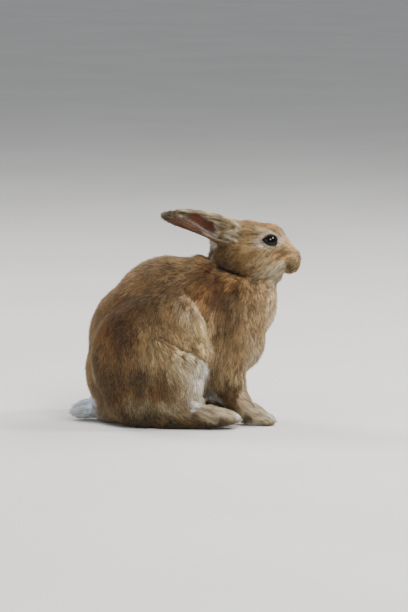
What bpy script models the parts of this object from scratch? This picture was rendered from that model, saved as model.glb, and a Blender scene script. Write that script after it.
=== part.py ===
"""A life-size rabbit that sits on its haunches with its ears laid back.

The flesh is modelled whole, from rounded masses hung on the joints of the
skeleton, and is then parted by thin cuts into head, neck, trunk, legs and
feet. Tail, ears, eyes and claws are solids of their own. Lengths are in
metres, +X is the way the rabbit faces, +Y is its left and +Z is up.
"""

import math

import bmesh
import bpy
from mathutils import Matrix, Vector

# Driving dimensions
GAP = 0.0003  # clear space between neighbouring solids
CORNER_GAP = 0.0005  # how far a corner moves so that its faces move by GAP
GRAIN = 0.0024  # grain at which the masses are melted together
BODY_SMOOTHING = 60  # how softly the masses of the torso flow into each other
LIMB_SMOOTHING = 11  # the same for head, legs and tail
FLESH_TRIANGLES = 3550  # faces left on the whole body before it is parted
TAIL_TRIANGLES = 280
EYE_RADIUS = 0.0098
EAR_THICKNESS = 0.0030
CLAW_RADIUS = 0.0012
CLAW_TIP_RADIUS = 0.0004
CLAW_LENGTH = 0.0075
CLAW_UNDER = 0.0022  # how far a claw lies under the middle of its toe
FAR_PAW_BACK = 0.013  # how far the left forefoot stands behind the right one
WIDE = 0.090  # half width of a cutter that passes the whole body

# Joints of the skeleton. Paired ones are given on the left, at +Y.
HIP = Vector((-0.052, 0.036, 0.088))
KNEE = Vector((0.004, 0.043, 0.084))
SHIN = Vector((-0.001, 0.049, 0.036))
HEEL = Vector((-0.026, 0.051, 0.015))
HIND_ARCH = Vector((0.024, 0.052, 0.0145))
HIND_TOES = Vector((0.0490, 0.053, 0.0138))
HIND_TIP = Vector((0.0602, 0.053, 0.0130))
SHOULDER = Vector((0.046, 0.022, 0.118))
ELBOW = Vector((0.048, 0.0235, 0.072))
FOREARM = Vector((0.0520, 0.0235, 0.043))
WRIST = Vector((0.070, 0.0240, 0.0160))
FORE_TOES = Vector((0.0980, 0.0250, 0.0068))
SKULL = Vector((0.072, 0.0, 0.213))
NOSE = Vector((0.122, 0.0, 0.196))
EYE = Vector((0.0972, 0.0158, 0.2182))
TAIL_ROOT = Vector((-0.098, 0.0, 0.020))
TAIL_TIP = Vector((-0.1260, 0.0, 0.0125))

# Furrows in the flesh, as lines in the upright X-Z plane that both sides follow
JAW_FOLD = (
    (0.0360, 0.1915), (0.0445, 0.1870), (0.0655, 0.1795),
    (0.0850, 0.1745), (0.0985, 0.1705),
)
FLANK_FOLD = (
    (0.006, 0.1620), (0.0175, 0.1475), (0.0260, 0.1235),
    (0.0305, 0.0930), (0.0300, 0.0630), (0.0250, 0.0430),
)
NAPE_FOLD = ((0.0270, 0.2030), (0.0300, 0.1985), (0.0360, 0.1915))
MOUTH_FOLD = ((0.1160, 0.1750), (0.1168, 0.1840), (0.1180, 0.1960))
FOLDS = (  # (line, half width, depth)
    (JAW_FOLD, 0.0052, 0.0060),
    (NAPE_FOLD, 0.0042, 0.0052),
    (FLANK_FOLD, 0.0052, 0.0042),
    (MOUTH_FOLD, 0.0030, 0.0030),
)

# Where the flesh is parted: outlines in the upright X-Z plane.
HEAD_OUTLINE = (
    (0.014, 0.2170), (0.054, 0.1880), (0.112, 0.1665),
    (0.170, 0.1665), (0.170, 0.2700), (0.014, 0.2700),
)
NECK_OUTLINE = (
    (0.004, 0.2140), (0.045, 0.1700), (0.120, 0.1460),
    (0.170, 0.1460), (0.170, 0.2500), (0.004, 0.2500),
)
HIND_FOOT_OUTLINE = ((-0.048, -0.010), (0.085, -0.010), (0.085, 0.0290), (-0.048, 0.0290))
FOREPAW_OUTLINE = ((0.057, -0.005), (0.150, -0.005), (0.150, 0.0480), (0.095, 0.0480))
FORELEG_OUTLINE = ((0.0305, -0.010), (0.110, -0.010), (0.110, 0.0520), (0.0305, 0.0580))
THIGH_OUTLINE = (
    (-0.150, -0.010), (0.0250, -0.010), *reversed(FLANK_FOLD), (-0.030, 0.1720), (-0.150, 0.1600),
)
HIND_FOOT_INNER = 0.0385  # distance from the middle at which a hind foot begins
THIGH_INNER = 0.0400
FORELEG_INNER = 0.0020

# An ear: (share of its length, half width, half of the angle it wraps)
EAR_STATIONS = (
    (0.00, 0.0140, 140.0), (0.10, 0.0150, 130.0), (0.22, 0.0152, 114.0),
    (0.36, 0.0146, 98.0), (0.50, 0.0134, 88.0), (0.64, 0.0118, 80.0),
    (0.78, 0.0100, 72.0), (0.89, 0.0078, 64.0), (0.96, 0.0054, 56.0), (1.00, 0.0024, 48.0),
)
EAR_ARC_STEPS = 10
RIGHT_EAR_SPINE = ((0.060, -0.0180, 0.2225), (0.026, -0.0300, 0.2435), (-0.014, -0.0270, 0.2525))
RIGHT_EAR_MOUTH = (0.10, -0.90, 0.42)
LEFT_EAR_SPINE = ((0.060, 0.0182, 0.2242), (0.018, 0.0300, 0.2365), (-0.031, 0.0240, 0.2455))
LEFT_EAR_MOUTH = (0.10, 0.92, 0.38)


def clear_scene():
    """Remove whatever the start-up file holds."""
    for old in list(bpy.data.objects):
        bpy.data.objects.remove(old, do_unlink=True)


def new_collection(name):
    """Return a new collection linked to the scene."""
    made = bpy.data.collections.new(name)
    bpy.context.scene.collection.children.link(made)
    return made


def finish(name, red, green, blue, roughness):
    """Return a plain Principled material."""
    made = bpy.data.materials.new(name)
    made.use_nodes = True
    shader = made.node_tree.nodes["Principled BSDF"]
    shader.inputs["Base Color"].default_value = (red, green, blue, 1.0)
    shader.inputs["Roughness"].default_value = roughness
    shader.inputs["Metallic"].default_value = 0.0
    return made


def object_of(bm, name, collection):
    """Turn a bmesh into an object of the collection and free the bmesh."""
    mesh = bpy.data.meshes.new(name)
    bm.to_mesh(mesh)
    bm.free()
    made = bpy.data.objects.new(name, mesh)
    collection.objects.link(made)
    return made


def evaluated_mesh(obj):
    """Return a new mesh of the object with its modifiers applied."""
    bpy.context.view_layer.update()
    graph = bpy.context.evaluated_depsgraph_get()
    return bpy.data.meshes.new_from_object(obj.evaluated_get(graph))


def apply_modifiers(obj):
    """Replace the object's mesh by its evaluated one."""
    made = evaluated_mesh(obj)
    obj.modifiers.clear()
    old = obj.data
    obj.data = made
    bpy.data.meshes.remove(old)


def turned(pitch=0.0, yaw=0.0):
    """Rotation from degrees: pitch lifts the front, yaw turns it to the left."""
    return Matrix.Rotation(math.radians(yaw), 4, "Z") @ Matrix.Rotation(math.radians(-pitch), 4, "Y")


def mirrored(point):
    """The same place on the rabbit's other side."""
    return Vector((point[0], -point[1], point[2]))


# ---------------------------------------------------------------- masses


def mass(centre, radii, pitch=0.0, yaw=0.0):
    """Placing of one egg-shaped mass."""
    return Matrix.Translation(centre) @ turned(pitch, yaw) @ Matrix.Diagonal((*radii, 1.0))


def limb(stations, steps=5):
    """Placings of a chain of masses that swells and tapers.

    A station is (centre, half depth, half width): the depth lies in the
    upright plane of the limb and the width across it.
    """
    made = []
    for (start, depth_a, width_a), (end, depth_b, width_b) in zip(stations, stations[1:]):
        along = Vector(end) - Vector(start)
        pitch = math.degrees(math.atan2(along.z, math.hypot(along.x, along.y)))
        yaw = math.degrees(math.atan2(along.y, along.x))
        for step in range(steps + 1):
            share = step / steps
            depth = depth_a + (depth_b - depth_a) * share
            width = width_a + (width_b - width_a) * share
            centre = Vector(start).lerp(Vector(end), share)
            made.append(mass(centre, (depth, width, depth), pitch, yaw))
    return made


def paired(masses):
    """The masses and the same masses mirrored to the other side."""
    flip = Matrix.Diagonal((1.0, -1.0, 1.0, 1.0))
    return masses + [flip @ each @ flip for each in masses]


def trunk_masses():
    """Rump, arched back, belly and chest."""
    return [
        mass((-0.0615, 0.0, 0.064), (0.0610, 0.054, 0.067)),  # rump
        mass((-0.080, 0.0, 0.020), (0.033, 0.042, 0.024)),  # under the tail
        mass((-0.0488, 0.0, 0.1085), (0.0652, 0.050, 0.0735), pitch=-44),  # loin
        mass((-0.016, 0.0, 0.128), (0.076, 0.047, 0.0712), pitch=-14),  # back
        mass((0.028, 0.0, 0.132), (0.062, 0.045, 0.0715)),  # ribs
        mass((-0.022, 0.0, 0.074), (0.056, 0.046, 0.048)),  # belly
        mass((0.062, 0.0, 0.147), (0.0460, 0.040, 0.051)),  # breast
        mass((0.0515, 0.0, 0.102), (0.0430, 0.036, 0.046), pitch=-20),  # breastbone
        mass((0.083, 0.0, 0.161), (0.0265, 0.029, 0.024)),  # throat
        mass((0.018, 0.0, 0.052), (0.036, 0.029, 0.026)),  # paunch
    ]


def neck_masses():
    """The short thick neck, hidden under the raised head."""
    nape = ((0.061, 0.0, 0.168), 0.033, 0.036)
    crown = ((0.0595, 0.0, 0.206), 0.0300, 0.030)
    return limb([nape, crown], steps=4)


def thigh_masses():
    """Haunch, knee and shin, folded against the body."""
    knee = (KNEE, 0.031, 0.0230)
    shin = (SHIN, 0.0220, 0.0170)
    return [
        mass((-0.042, 0.036, 0.083), (0.071, 0.034, 0.071), pitch=10, yaw=-4),
        mass(HIP + Vector((0.026, 0.001, 0.026)), (0.054, 0.026, 0.050)),  # flank
        mass((-0.016, 0.042, 0.056), (0.044, 0.0275, 0.044)),  # calf
        mass((-0.044, 0.040, 0.034), (0.053, 0.028, 0.036)),  # seat
    ] + limb([knee, shin], steps=4)


def shoulder_masses():
    """Upper arm, under the skin of the chest."""
    return limb([(SHOULDER, 0.034, 0.024), (ELBOW, 0.026, 0.0175)], steps=4)


def head_masses():
    """Cranium, brow, forehead, tapering muzzle, jaw and chin."""
    bridge = ((0.103, 0.0, 0.2080), 0.0205, 0.0180)
    muzzle = (NOSE, 0.0135, 0.0125)
    return [
        mass(SKULL, (0.036, 0.0255, 0.0290)),  # cranium
        mass((0.088, 0.0, 0.2165), (0.0230, 0.0205, 0.0225), pitch=-20),  # brow
        mass((0.0985, 0.0, 0.2200), (0.0195, 0.0165, 0.0180), pitch=-30),  # forehead
        mass((0.0965, 0.0, 0.1870), (0.0220, 0.0175, 0.0170)),  # jaw
        mass((0.1065, 0.0, 0.1770), (0.0095, 0.0095, 0.0088)),  # chin
    ] + limb([bridge, muzzle], steps=5)


def cheek_masses():
    """Full cheek, lip, eye mound and the hollow before the eye."""
    return [
        mass((0.077, 0.0130, 0.1985), (0.0350, 0.0205, 0.0255), pitch=-8, yaw=-10),  # cheek
        mass((0.1200, 0.0070, 0.1905), (0.0140, 0.0102, 0.0122), pitch=-4, yaw=-12),  # lip
        mass((0.0955, 0.0125, 0.2165), (0.0175, 0.0132, 0.0160), yaw=-10),  # eye mound
        mass((0.1060, 0.0090, 0.2070), (0.0185, 0.0125, 0.0160), pitch=-20, yaw=-14),
    ]


def hind_foot_masses():
    """The long hind foot that lies flat."""
    heel = (HEEL, 0.0160, 0.0145)
    arch = (HIND_ARCH, 0.0150, 0.0145)
    toes = (HIND_TOES, 0.0102, 0.0130)
    tip = (HIND_TIP, 0.0052, 0.0112)
    return limb([heel, arch, toes, tip], steps=5)


def foreleg_masses():
    """Elbow, forearm and paw."""
    elbow = (ELBOW, 0.0245, 0.0165)
    forearm = (FOREARM, 0.0190, 0.0138)
    wrist = (WRIST, 0.0128, 0.0118)
    toes = (FORE_TOES, 0.0074, 0.0112)
    return limb([elbow, forearm, wrist, toes], steps=5)


def set_back(masses, length):
    """Slide a leg back, more and more toward its foot."""
    top = ELBOW.z
    moved = []
    for each in masses:
        share = min(1.0, max(0.0, (top - each.translation.z) / (top - WRIST.z)))
        moved.append(Matrix.Translation((-length * share, 0.0, 0.0)) @ each)
    return moved


def add_masses(bm, masses):
    """Add every mass as a ball of its own."""
    ball = bmesh.new()
    bmesh.ops.create_uvsphere(ball, u_segments=28, v_segments=16, radius=1.0)
    for placing in masses:
        mesh = bpy.data.meshes.new("ball")
        ball.to_mesh(mesh)
        mesh.transform(placing)
        bm.from_mesh(mesh)
        bpy.data.meshes.remove(mesh)
    ball.free()


def melt(bm, name, cutters, steps):
    """Melt the masses of the bmesh into one skin and soften it."""
    body = object_of(bm, name, cutters)
    remesh = body.modifiers.new("melt", "REMESH")
    remesh.mode = "VOXEL"
    remesh.voxel_size = GRAIN
    soften = body.modifiers.new("soften", "SMOOTH")
    soften.factor = 0.5
    soften.iterations = steps
    apply_modifiers(body)
    return body


def press_fold(body, line, reach, depth):
    """Press a furrow into both sides of the body along a line in the X-Z plane."""
    points = [Vector((x, 0.0, z)) for x, z in line]
    moved = []
    for vert in body.data.vertices:
        flat = Vector((vert.co.x, 0.0, vert.co.z))
        gap = min(distance_to(flat, start, end) for start, end in zip(points, points[1:]))
        moved.append(vert.co - vert.normal * depth * math.exp(-((gap / reach) ** 2)))
    for vert, place in zip(body.data.vertices, moved):
        vert.co = place
    body.data.update()


def distance_to(point, start, end):
    """Distance of a point from a straight piece of line."""
    along = end - start
    share = min(1.0, max(0.0, (point - start).dot(along) / along.length_squared))
    return (point - start - along * share).length


def thin_out(body, triangles):
    """Leave about this many triangles on the body."""
    body.data.calc_loop_triangles()
    thin = body.modifiers.new("thin", "DECIMATE")
    thin.ratio = triangles / len(body.data.loop_triangles)
    apply_modifiers(body)


def whole_flesh(cutters):
    """Melt all the masses but the tail into one smooth closed body."""
    bm = bmesh.new()
    add_masses(bm, trunk_masses() + neck_masses())
    add_masses(bm, paired(thigh_masses() + shoulder_masses()))
    torso = melt(bm, "torso", cutters, BODY_SMOOTHING)
    bm = bmesh.new()
    bm.from_mesh(torso.data)
    add_masses(bm, head_masses() + paired(cheek_masses() + hind_foot_masses()))
    near = paired(foreleg_masses())
    half = len(near) // 2
    add_masses(bm, near[half:])
    add_masses(bm, set_back(near[:half], FAR_PAW_BACK))
    body = melt(bm, "whole_flesh", cutters, LIMB_SMOOTHING)
    for line, reach, depth in FOLDS:
        press_fold(body, line, reach, depth)
    thin_out(body, FLESH_TRIANGLES)
    bpy.data.objects.remove(torso)
    return body


# ---------------------------------------------------------------- cutting


def prism(outline, inner, outer, name, cutters):
    """Solid whose X-Z outline runs from Y = inner to Y = outer."""
    bm = bmesh.new()
    ring = [bm.verts.new((x, inner, z)) for x, z in outline]
    face = bm.faces.new(ring)
    pushed = bmesh.ops.extrude_face_region(bm, geom=[face])
    verts = [item for item in pushed["geom"] if isinstance(item, bmesh.types.BMVert)]
    bmesh.ops.translate(bm, vec=(0.0, outer - inner, 0.0), verts=verts)
    bmesh.ops.recalc_face_normals(bm, faces=bm.faces)
    return object_of(bm, name, cutters)


def grown(obj, length, cutters):
    """Copy of a cutter with every corner pushed out."""
    bm = bmesh.new()
    bm.from_mesh(obj.data)
    bm.normal_update()
    for vert in bm.verts:
        vert.co += vert.normal * length
    return object_of(bm, obj.name + "_grown", cutters)


def boolean(obj, tool, operation):
    """Cut or trim the object with the tool, for good."""
    cut = obj.modifiers.new("cut", "BOOLEAN")
    cut.operation = operation
    cut.solver = "EXACT"
    cut.object = tool
    apply_modifiers(obj)


def keep_largest(obj):
    """Drop every loose crumb but the largest piece."""
    bm = bmesh.new()
    bm.from_mesh(obj.data)
    bmesh.ops.remove_doubles(bm, verts=bm.verts, dist=0.00002)
    left = set(bm.verts)
    pieces = []
    while left:
        stack = [left.pop()]
        piece = set(stack)
        while stack:
            for edge in stack.pop().link_edges:
                for vert in edge.verts:
                    if vert in left:
                        left.discard(vert)
                        piece.add(vert)
                        stack.append(vert)
        pieces.append(piece)
    pieces.sort(key=len)
    crumbs = [vert for piece in pieces[:-1] for vert in piece]
    bmesh.ops.delete(bm, geom=crumbs, context="VERTS")
    bm.to_mesh(obj.data)
    bm.free()


def part_off(body, region, name, parts, cutters):
    """Part the piece inside the region off the body, GAP away from it."""
    piece = bpy.data.objects.new(name, body.data.copy())
    parts.objects.link(piece)
    boolean(piece, region, "INTERSECT")
    keep_largest(piece)
    boolean(body, grown(region, CORNER_GAP, cutters), "DIFFERENCE")
    return piece


def both_sides(outline, inner, outer, name, cutters):
    """A region on the left and its mirror on the right."""
    left = prism(outline, inner, outer, name + "_left_region", cutters)
    right = prism(outline, -outer, -inner, name + "_right_region", cutters)
    return {"left": left, "right": right}


# ---------------------------------------------------------------- own solids


def add_ear(name, spine, mouth, parts):
    """A cupped ear: a trough along a bent spine, open toward the mouth."""
    root, bend, tip = (Vector(point) for point in spine)
    bm = bmesh.new()
    rows = []
    for share, half_width, half_angle in EAR_STATIONS:
        centre = root.lerp(bend, share).lerp(bend.lerp(tip, share), share)
        along = ((bend - root) * (1.0 - share) + (tip - bend) * share).normalized()
        opening = Vector(mouth)
        opening = (opening - along * opening.dot(along)).normalized()
        across = along.cross(opening)
        wrap = math.radians(half_angle)
        radius = half_width / math.sin(min(wrap, math.pi / 2))
        row = []
        for step in range(EAR_ARC_STEPS + 1):
            angle = wrap * (2.0 * step / EAR_ARC_STEPS - 1.0)
            reach = across * math.sin(angle) - opening * (math.cos(angle) - math.cos(wrap) * 0.5)
            row.append(bm.verts.new(centre + reach * radius))
        rows.append(row)
    for row, after in zip(rows, rows[1:]):
        for step in range(EAR_ARC_STEPS):
            bm.faces.new((row[step], row[step + 1], after[step + 1], after[step]))
    bmesh.ops.recalc_face_normals(bm, faces=bm.faces)
    ear = object_of(bm, name, parts)
    wall = ear.modifiers.new("wall", "SOLIDIFY")
    wall.thickness = EAR_THICKNESS
    wall.offset = 0.0
    apply_modifiers(ear)
    return ear


def add_eye(name, centre, parts):
    """The globe of an eye."""
    bm = bmesh.new()
    placing = Matrix.Translation(centre) @ Matrix.Rotation(math.pi / 2, 4, "X")
    bmesh.ops.create_uvsphere(bm, u_segments=18, v_segments=10, radius=EYE_RADIUS, matrix=placing)
    return object_of(bm, name, parts)


def add_claw(name, place, pitch, yaw, parts):
    """One blunt claw, half sunk in its toe."""
    bm = bmesh.new()
    placing = Matrix.Translation(place) @ turned(pitch, yaw) @ Matrix.Rotation(math.pi / 2, 4, "Y")
    bmesh.ops.create_cone(
        bm, cap_ends=True, segments=6, radius1=CLAW_RADIUS, radius2=CLAW_TIP_RADIUS,
        depth=CLAW_LENGTH, matrix=placing,
    )
    return object_of(bm, name, parts)


def sink(host, guest, cutters):
    """Hollow the host round the guest, GAP away from it."""
    boolean(host, grown(guest, GAP, cutters), "DIFFERENCE")


def build_claws(made, parts, cutters):
    """Four claws on every foot, each sunk in a socket."""
    rows = (
        ("hind", HIND_TIP, 0.0050, "hind_foot"),
        ("fore", FORE_TOES, 0.0072, "forepaw"),
    )
    for row, toes, reach, host in rows:
        for side, sign in (("left", 1.0), ("right", -1.0)):
            back = FAR_PAW_BACK if (row, side) == ("fore", "left") else 0.0
            for index in range(4):
                across = (index - 1.5) / 1.5
                place = Vector((
                    toes.x - back + reach - 0.0022 * abs(across),
                    sign * toes.y + 0.0066 * across,
                    toes.z - CLAW_UNDER,
                ))
                name = f"claw_{row}_{side}_{index + 1}"
                made[name] = add_claw(name, place, -12.0, 14.0 * across, parts)
                sink(made[f"{host}_{side}"], made[name], cutters)


# ---------------------------------------------------------------- assembly


def build_flesh(parts, cutters):
    """Model the body whole, set it on the floor and part it."""
    body = whole_flesh(cutters)
    tail_bm = bmesh.new()
    add_masses(tail_bm, limb([(TAIL_ROOT, 0.0195, 0.018), (TAIL_TIP, 0.0112, 0.0130)], steps=4))
    tail = melt(tail_bm, "tail", parts, LIMB_SMOOTHING)
    thin_out(tail, TAIL_TRIANGLES)
    under = ((-0.3, -0.1), (0.3, -0.1), (0.3, 0.0), (-0.3, 0.0))
    floor = prism(under, -0.2, 0.2, "under_floor", cutters)
    boolean(body, floor, "DIFFERENCE")
    boolean(tail, floor, "DIFFERENCE")
    made = {"tail": tail}
    sink(body, tail, cutters)
    head = prism(HEAD_OUTLINE, -WIDE, WIDE, "head_region", cutters)
    made["head"] = part_off(body, head, "head", parts, cutters)
    neck = prism(NECK_OUTLINE, -WIDE, WIDE, "neck_region", cutters)
    made["neck"] = part_off(body, neck, "neck", parts, cutters)
    rows = (
        ("hind_foot", HIND_FOOT_OUTLINE, HIND_FOOT_INNER, WIDE),
        ("forepaw", FOREPAW_OUTLINE, FORELEG_INNER, WIDE),
        ("foreleg", FORELEG_OUTLINE, FORELEG_INNER, WIDE),
        ("hind_leg", THIGH_OUTLINE, THIGH_INNER, WIDE),
    )
    for name, outline, inner, outer in rows:
        for side, region in both_sides(outline, inner, outer, name, cutters).items():
            made[f"{name}_{side}"] = part_off(body, region, f"{name}_{side}", parts, cutters)
    keep_largest(body)
    body.name = "trunk"
    cutters.objects.unlink(body)
    parts.objects.link(body)
    made["trunk"] = body
    return made


def build_head_parts(made, parts, cutters):
    """Eyes in their sockets and ears seated on the head."""
    for side, place in (("left", EYE), ("right", mirrored(EYE))):
        made[f"eye_{side}"] = add_eye(f"eye_{side}", place, parts)
        sink(made["head"], made[f"eye_{side}"], cutters)
    made["ear_right"] = add_ear("ear_right", RIGHT_EAR_SPINE, RIGHT_EAR_MOUTH, parts)
    made["ear_left"] = add_ear("ear_left", LEFT_EAR_SPINE, LEFT_EAR_MOUTH, parts)
    seat = grown(made["head"], CORNER_GAP, cutters)
    for side in ("left", "right"):
        boolean(made[f"ear_{side}"], seat, "DIFFERENCE")
        keep_largest(made[f"ear_{side}"])


def dress(made):
    """Give every part its material and shading."""
    coat = finish("coat_tan", 0.42, 0.27, 0.14, 0.90)
    pale = finish("coat_pale", 0.66, 0.58, 0.48, 0.90)
    eye = finish("eye_dark", 0.012, 0.009, 0.008, 0.08)
    horn = finish("claw_horn", 0.20, 0.15, 0.11, 0.45)
    for name, obj in made.items():
        if name.startswith("eye"):
            slot = eye
        elif name.startswith("claw"):
            slot = horn
        elif name == "tail":
            slot = pale
        else:
            slot = coat
        obj.data.materials.clear()
        obj.data.materials.append(slot)
        for face in obj.data.polygons:
            face.use_smooth = not name.startswith("claw")


def centre_on_floor(made):
    """Move the whole so that the middle of its bottom is the origin."""
    corners = [vert.co for obj in made.values() for vert in obj.data.vertices]
    middle_x = (min(co.x for co in corners) + max(co.x for co in corners)) / 2
    middle_y = (min(co.y for co in corners) + max(co.y for co in corners)) / 2
    low = min(co.z for co in corners)
    for obj in made.values():
        obj.data.transform(Matrix.Translation((-middle_x, -middle_y, -low)))


def main():
    """Build every solid of the rabbit."""
    clear_scene()
    parts = new_collection("rabbit")
    cutters = new_collection("cutters")
    made = build_flesh(parts, cutters)
    build_head_parts(made, parts, cutters)
    build_claws(made, parts, cutters)
    dress(made)
    centre_on_floor(made)
    for tool in cutters.objects:
        tool.hide_render = True
        tool.display_type = "WIRE"


if __name__ == "__main__":
    main()
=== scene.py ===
"""Dress the sitting rabbit: one skin, a coat of tufts, eyes, claws and whiskers.

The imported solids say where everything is. One skin stands for all the nodes of
flesh and lies inside them by the depth of the coat; the coat's tufts bring the
outline back out to the solids. Lengths are in metres, +X is the way the rabbit
faces, +Y is its left and +Z is up.
"""

import logging
import math
from dataclasses import dataclass, field
from enum import Enum
from typing import Dict, List, Optional, Sequence, Tuple, Union

import bmesh
import bpy
import numpy as np
from mathutils import Matrix, Vector
from mathutils.bvhtree import BVHTree
from mathutils.kdtree import KDTree


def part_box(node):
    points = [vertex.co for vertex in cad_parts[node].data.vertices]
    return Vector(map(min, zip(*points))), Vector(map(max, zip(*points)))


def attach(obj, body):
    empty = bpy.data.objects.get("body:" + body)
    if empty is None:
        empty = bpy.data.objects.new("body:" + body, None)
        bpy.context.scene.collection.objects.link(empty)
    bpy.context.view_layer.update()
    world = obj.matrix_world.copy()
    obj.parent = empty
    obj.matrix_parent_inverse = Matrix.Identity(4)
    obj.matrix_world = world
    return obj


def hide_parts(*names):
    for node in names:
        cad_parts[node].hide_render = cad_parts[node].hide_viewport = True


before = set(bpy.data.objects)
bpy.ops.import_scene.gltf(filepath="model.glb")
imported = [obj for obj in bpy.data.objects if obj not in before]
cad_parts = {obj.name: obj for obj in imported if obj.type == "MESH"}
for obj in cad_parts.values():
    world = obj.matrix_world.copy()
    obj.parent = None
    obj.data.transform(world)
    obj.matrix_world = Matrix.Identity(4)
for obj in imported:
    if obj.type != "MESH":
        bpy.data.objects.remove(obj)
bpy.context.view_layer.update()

LOG = logging.getLogger("rabbit")
Array = np.ndarray
Point = Tuple[float, float, float]
Line = Tuple[Tuple[float, float], ...]
Input = Union[float, Point, bpy.types.NodeSocket]

SIDES = {"left": 1.0, "right": -1.0}
EARS = ("ear_left", "ear_right")
LIMBS = ("foreleg", "forepaw", "hind_leg", "hind_foot")
FLESH = ("head", "neck", "trunk", "tail") + EARS + tuple(
    f"{limb}_{side}" for limb in LIMBS for side in SIDES
)
EAR_LABELS = tuple(FLESH.index(ear) for ear in EARS)


def part_of(name: str) -> str:
    """Name of a node without its side."""
    return name.rsplit("_", 1)[0] if name.endswith(("_left", "_right")) else name


# ---------------------------------------------------------------- numbers


def linear(red: float, green: float, blue: float) -> Point:
    """Turn a display colour into a linear one.

    Args:
        red: Red, 0 to 255, and likewise green and blue.

    Returns:
        The linear colour, 0 to 1.
    """
    scaled = np.array((red, green, blue)) / 255.0
    return tuple(np.where(scaled <= 0.04045, scaled / 12.92, ((scaled + 0.055) / 1.055) ** 2.4))


def ease(low: float, high: float, value: Array) -> Array:
    """Smooth step from 0 at low to 1 at high."""
    share = np.clip((value - low) / (high - low), 0.0, 1.0)
    return share * share * (3.0 - 2.0 * share)


def unit(vectors: Array) -> Array:
    """Vectors of length one."""
    return vectors / np.maximum(np.linalg.norm(vectors, axis=-1, keepdims=True), 1e-9)


def flatten(vectors: Array, normals: Array) -> Array:
    """Vectors laid into the plane across the normals."""
    return unit(vectors - normals * (vectors * normals).sum(1, keepdims=True))


def lattice_noise(points: Array, scale: float, seed: int) -> Array:
    """Smooth random values between 0 and 1.

    Args:
        points: Places, one a row.
        scale: Size of one blotch in metres.
        seed: Chooses the pattern.

    Returns:
        One value for each place.
    """
    grid = points / scale + 1000.0
    base = np.floor(grid).astype(np.int64)
    share = grid - base
    share = share * share * (3.0 - 2.0 * share)
    total = np.zeros(len(points))
    for corner in range(8):
        step = np.array([(corner >> axis) & 1 for axis in range(3)])
        cell = base + step
        mixed = cell[:, 0] * 73856093 ^ cell[:, 1] * 19349663 ^ cell[:, 2] * 83492791 ^ seed * 2654435761
        mixed = (mixed ^ (mixed >> 13)) * 1274126177 & 0x7FFFFFFF
        value = (mixed ^ (mixed >> 16)) % 65536 / 65535.0
        weight = np.prod(np.where(step == 1, share, 1.0 - share), axis=1)
        total += value * weight
    return total


def line_distance(points: Array, line: Sequence[Point]) -> Array:
    """Distance of each place from a chain of straight pieces.

    Args:
        points: Places, one a row.
        line: Corners of the chain.

    Returns:
        One distance for each place.
    """
    best = np.full(len(points), 1.0)
    for start, end in zip(line, line[1:]):
        first = np.array(start)
        along = np.array(end) - first
        share = np.clip((points - first) @ along / (along @ along), 0.0, 1.0)
        best = np.minimum(best, np.linalg.norm(points - first - share[:, None] * along, axis=1))
    return best


# ---------------------------------------------------------------- landmarks


# An ear: (share of its length, half of the angle it wraps, in degrees)
EAR_WRAP = ((0.00, 140.0), (0.22, 114.0), (0.50, 88.0), (0.78, 72.0), (1.00, 48.0))


@dataclass(frozen=True)
class EarSpine:
    """The bent line that an ear follows, and the way its cup opens."""

    root: Point
    bend: Point
    tip: Point
    mouth: Point

    def way(self, share: Array) -> Array:
        """Direction of the line.

        Args:
            share: Share of the ear's length, 0 at its root.

        Returns:
            Unit vectors, one a row.
        """
        root, bend, tip = (np.array(point) for point in (self.root, self.bend, self.tip))
        share = np.asarray(share)[..., None]
        return unit((bend - root) * (1.0 - share) + (tip - bend) * share)

    def round(self, points: Array, share: Array) -> Array:
        """How far round the cup each place is: 0 at its floor, 1 at the upper rim, -1 at the lower.

        Args:
            points: Places, one a row.
            share: Share of the ear's length, 0 at its root.

        Returns:
            Signed shares of the ear's wrap.
        """
        along = self.way(share)
        opening = flatten(np.tile(np.array(self.mouth), (len(points), 1)), along)
        away = points - self.at(share)
        across = np.cross(along, opening)
        across *= np.sign(across[:, 2:3])
        turn = np.arctan2((away * across).sum(1), -(away * opening).sum(1) + 0.002)
        shares, wraps = np.array(EAR_WRAP).T
        return turn / np.radians(np.interp(share, shares, wraps))

    def at(self, share: Array) -> Array:
        """Places on the line, from the root at 0 to the tip at 1.

        Args:
            share: Share of the ear's length, 0 at its root.

        Returns:
            Places in metres.
        """
        root, bend, tip = (np.array(point) for point in (self.root, self.bend, self.tip))
        share = np.asarray(share)[..., None]
        return (1 - share) ** 2 * root + 2 * share * (1 - share) * bend + share**2 * tip

    def nearest(self, points: Array) -> Array:
        """Share of the line's length nearest to each place.

        Args:
            points: Places, one a row.

        Returns:
            Shares, in steps of a fortieth.
        """
        shares = np.linspace(0.0, 1.0, 41)
        line = self.at(shares)
        gaps = np.linalg.norm(points[:, None, :] - line[None], axis=2)
        return shares[gaps.argmin(1)]


EAR_SPINES = {
    "ear_right": EarSpine(
        (0.0610, -0.0180, 0.2225), (0.0270, -0.0300, 0.2435), (-0.0130, -0.0270, 0.2525), (0.10, -0.90, 0.42)
    ),
    "ear_left": EarSpine(
        (0.0610, 0.0182, 0.2242), (0.0190, 0.0300, 0.2365), (-0.0300, 0.0240, 0.2455), (0.10, 0.92, 0.38)
    ),
}


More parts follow.
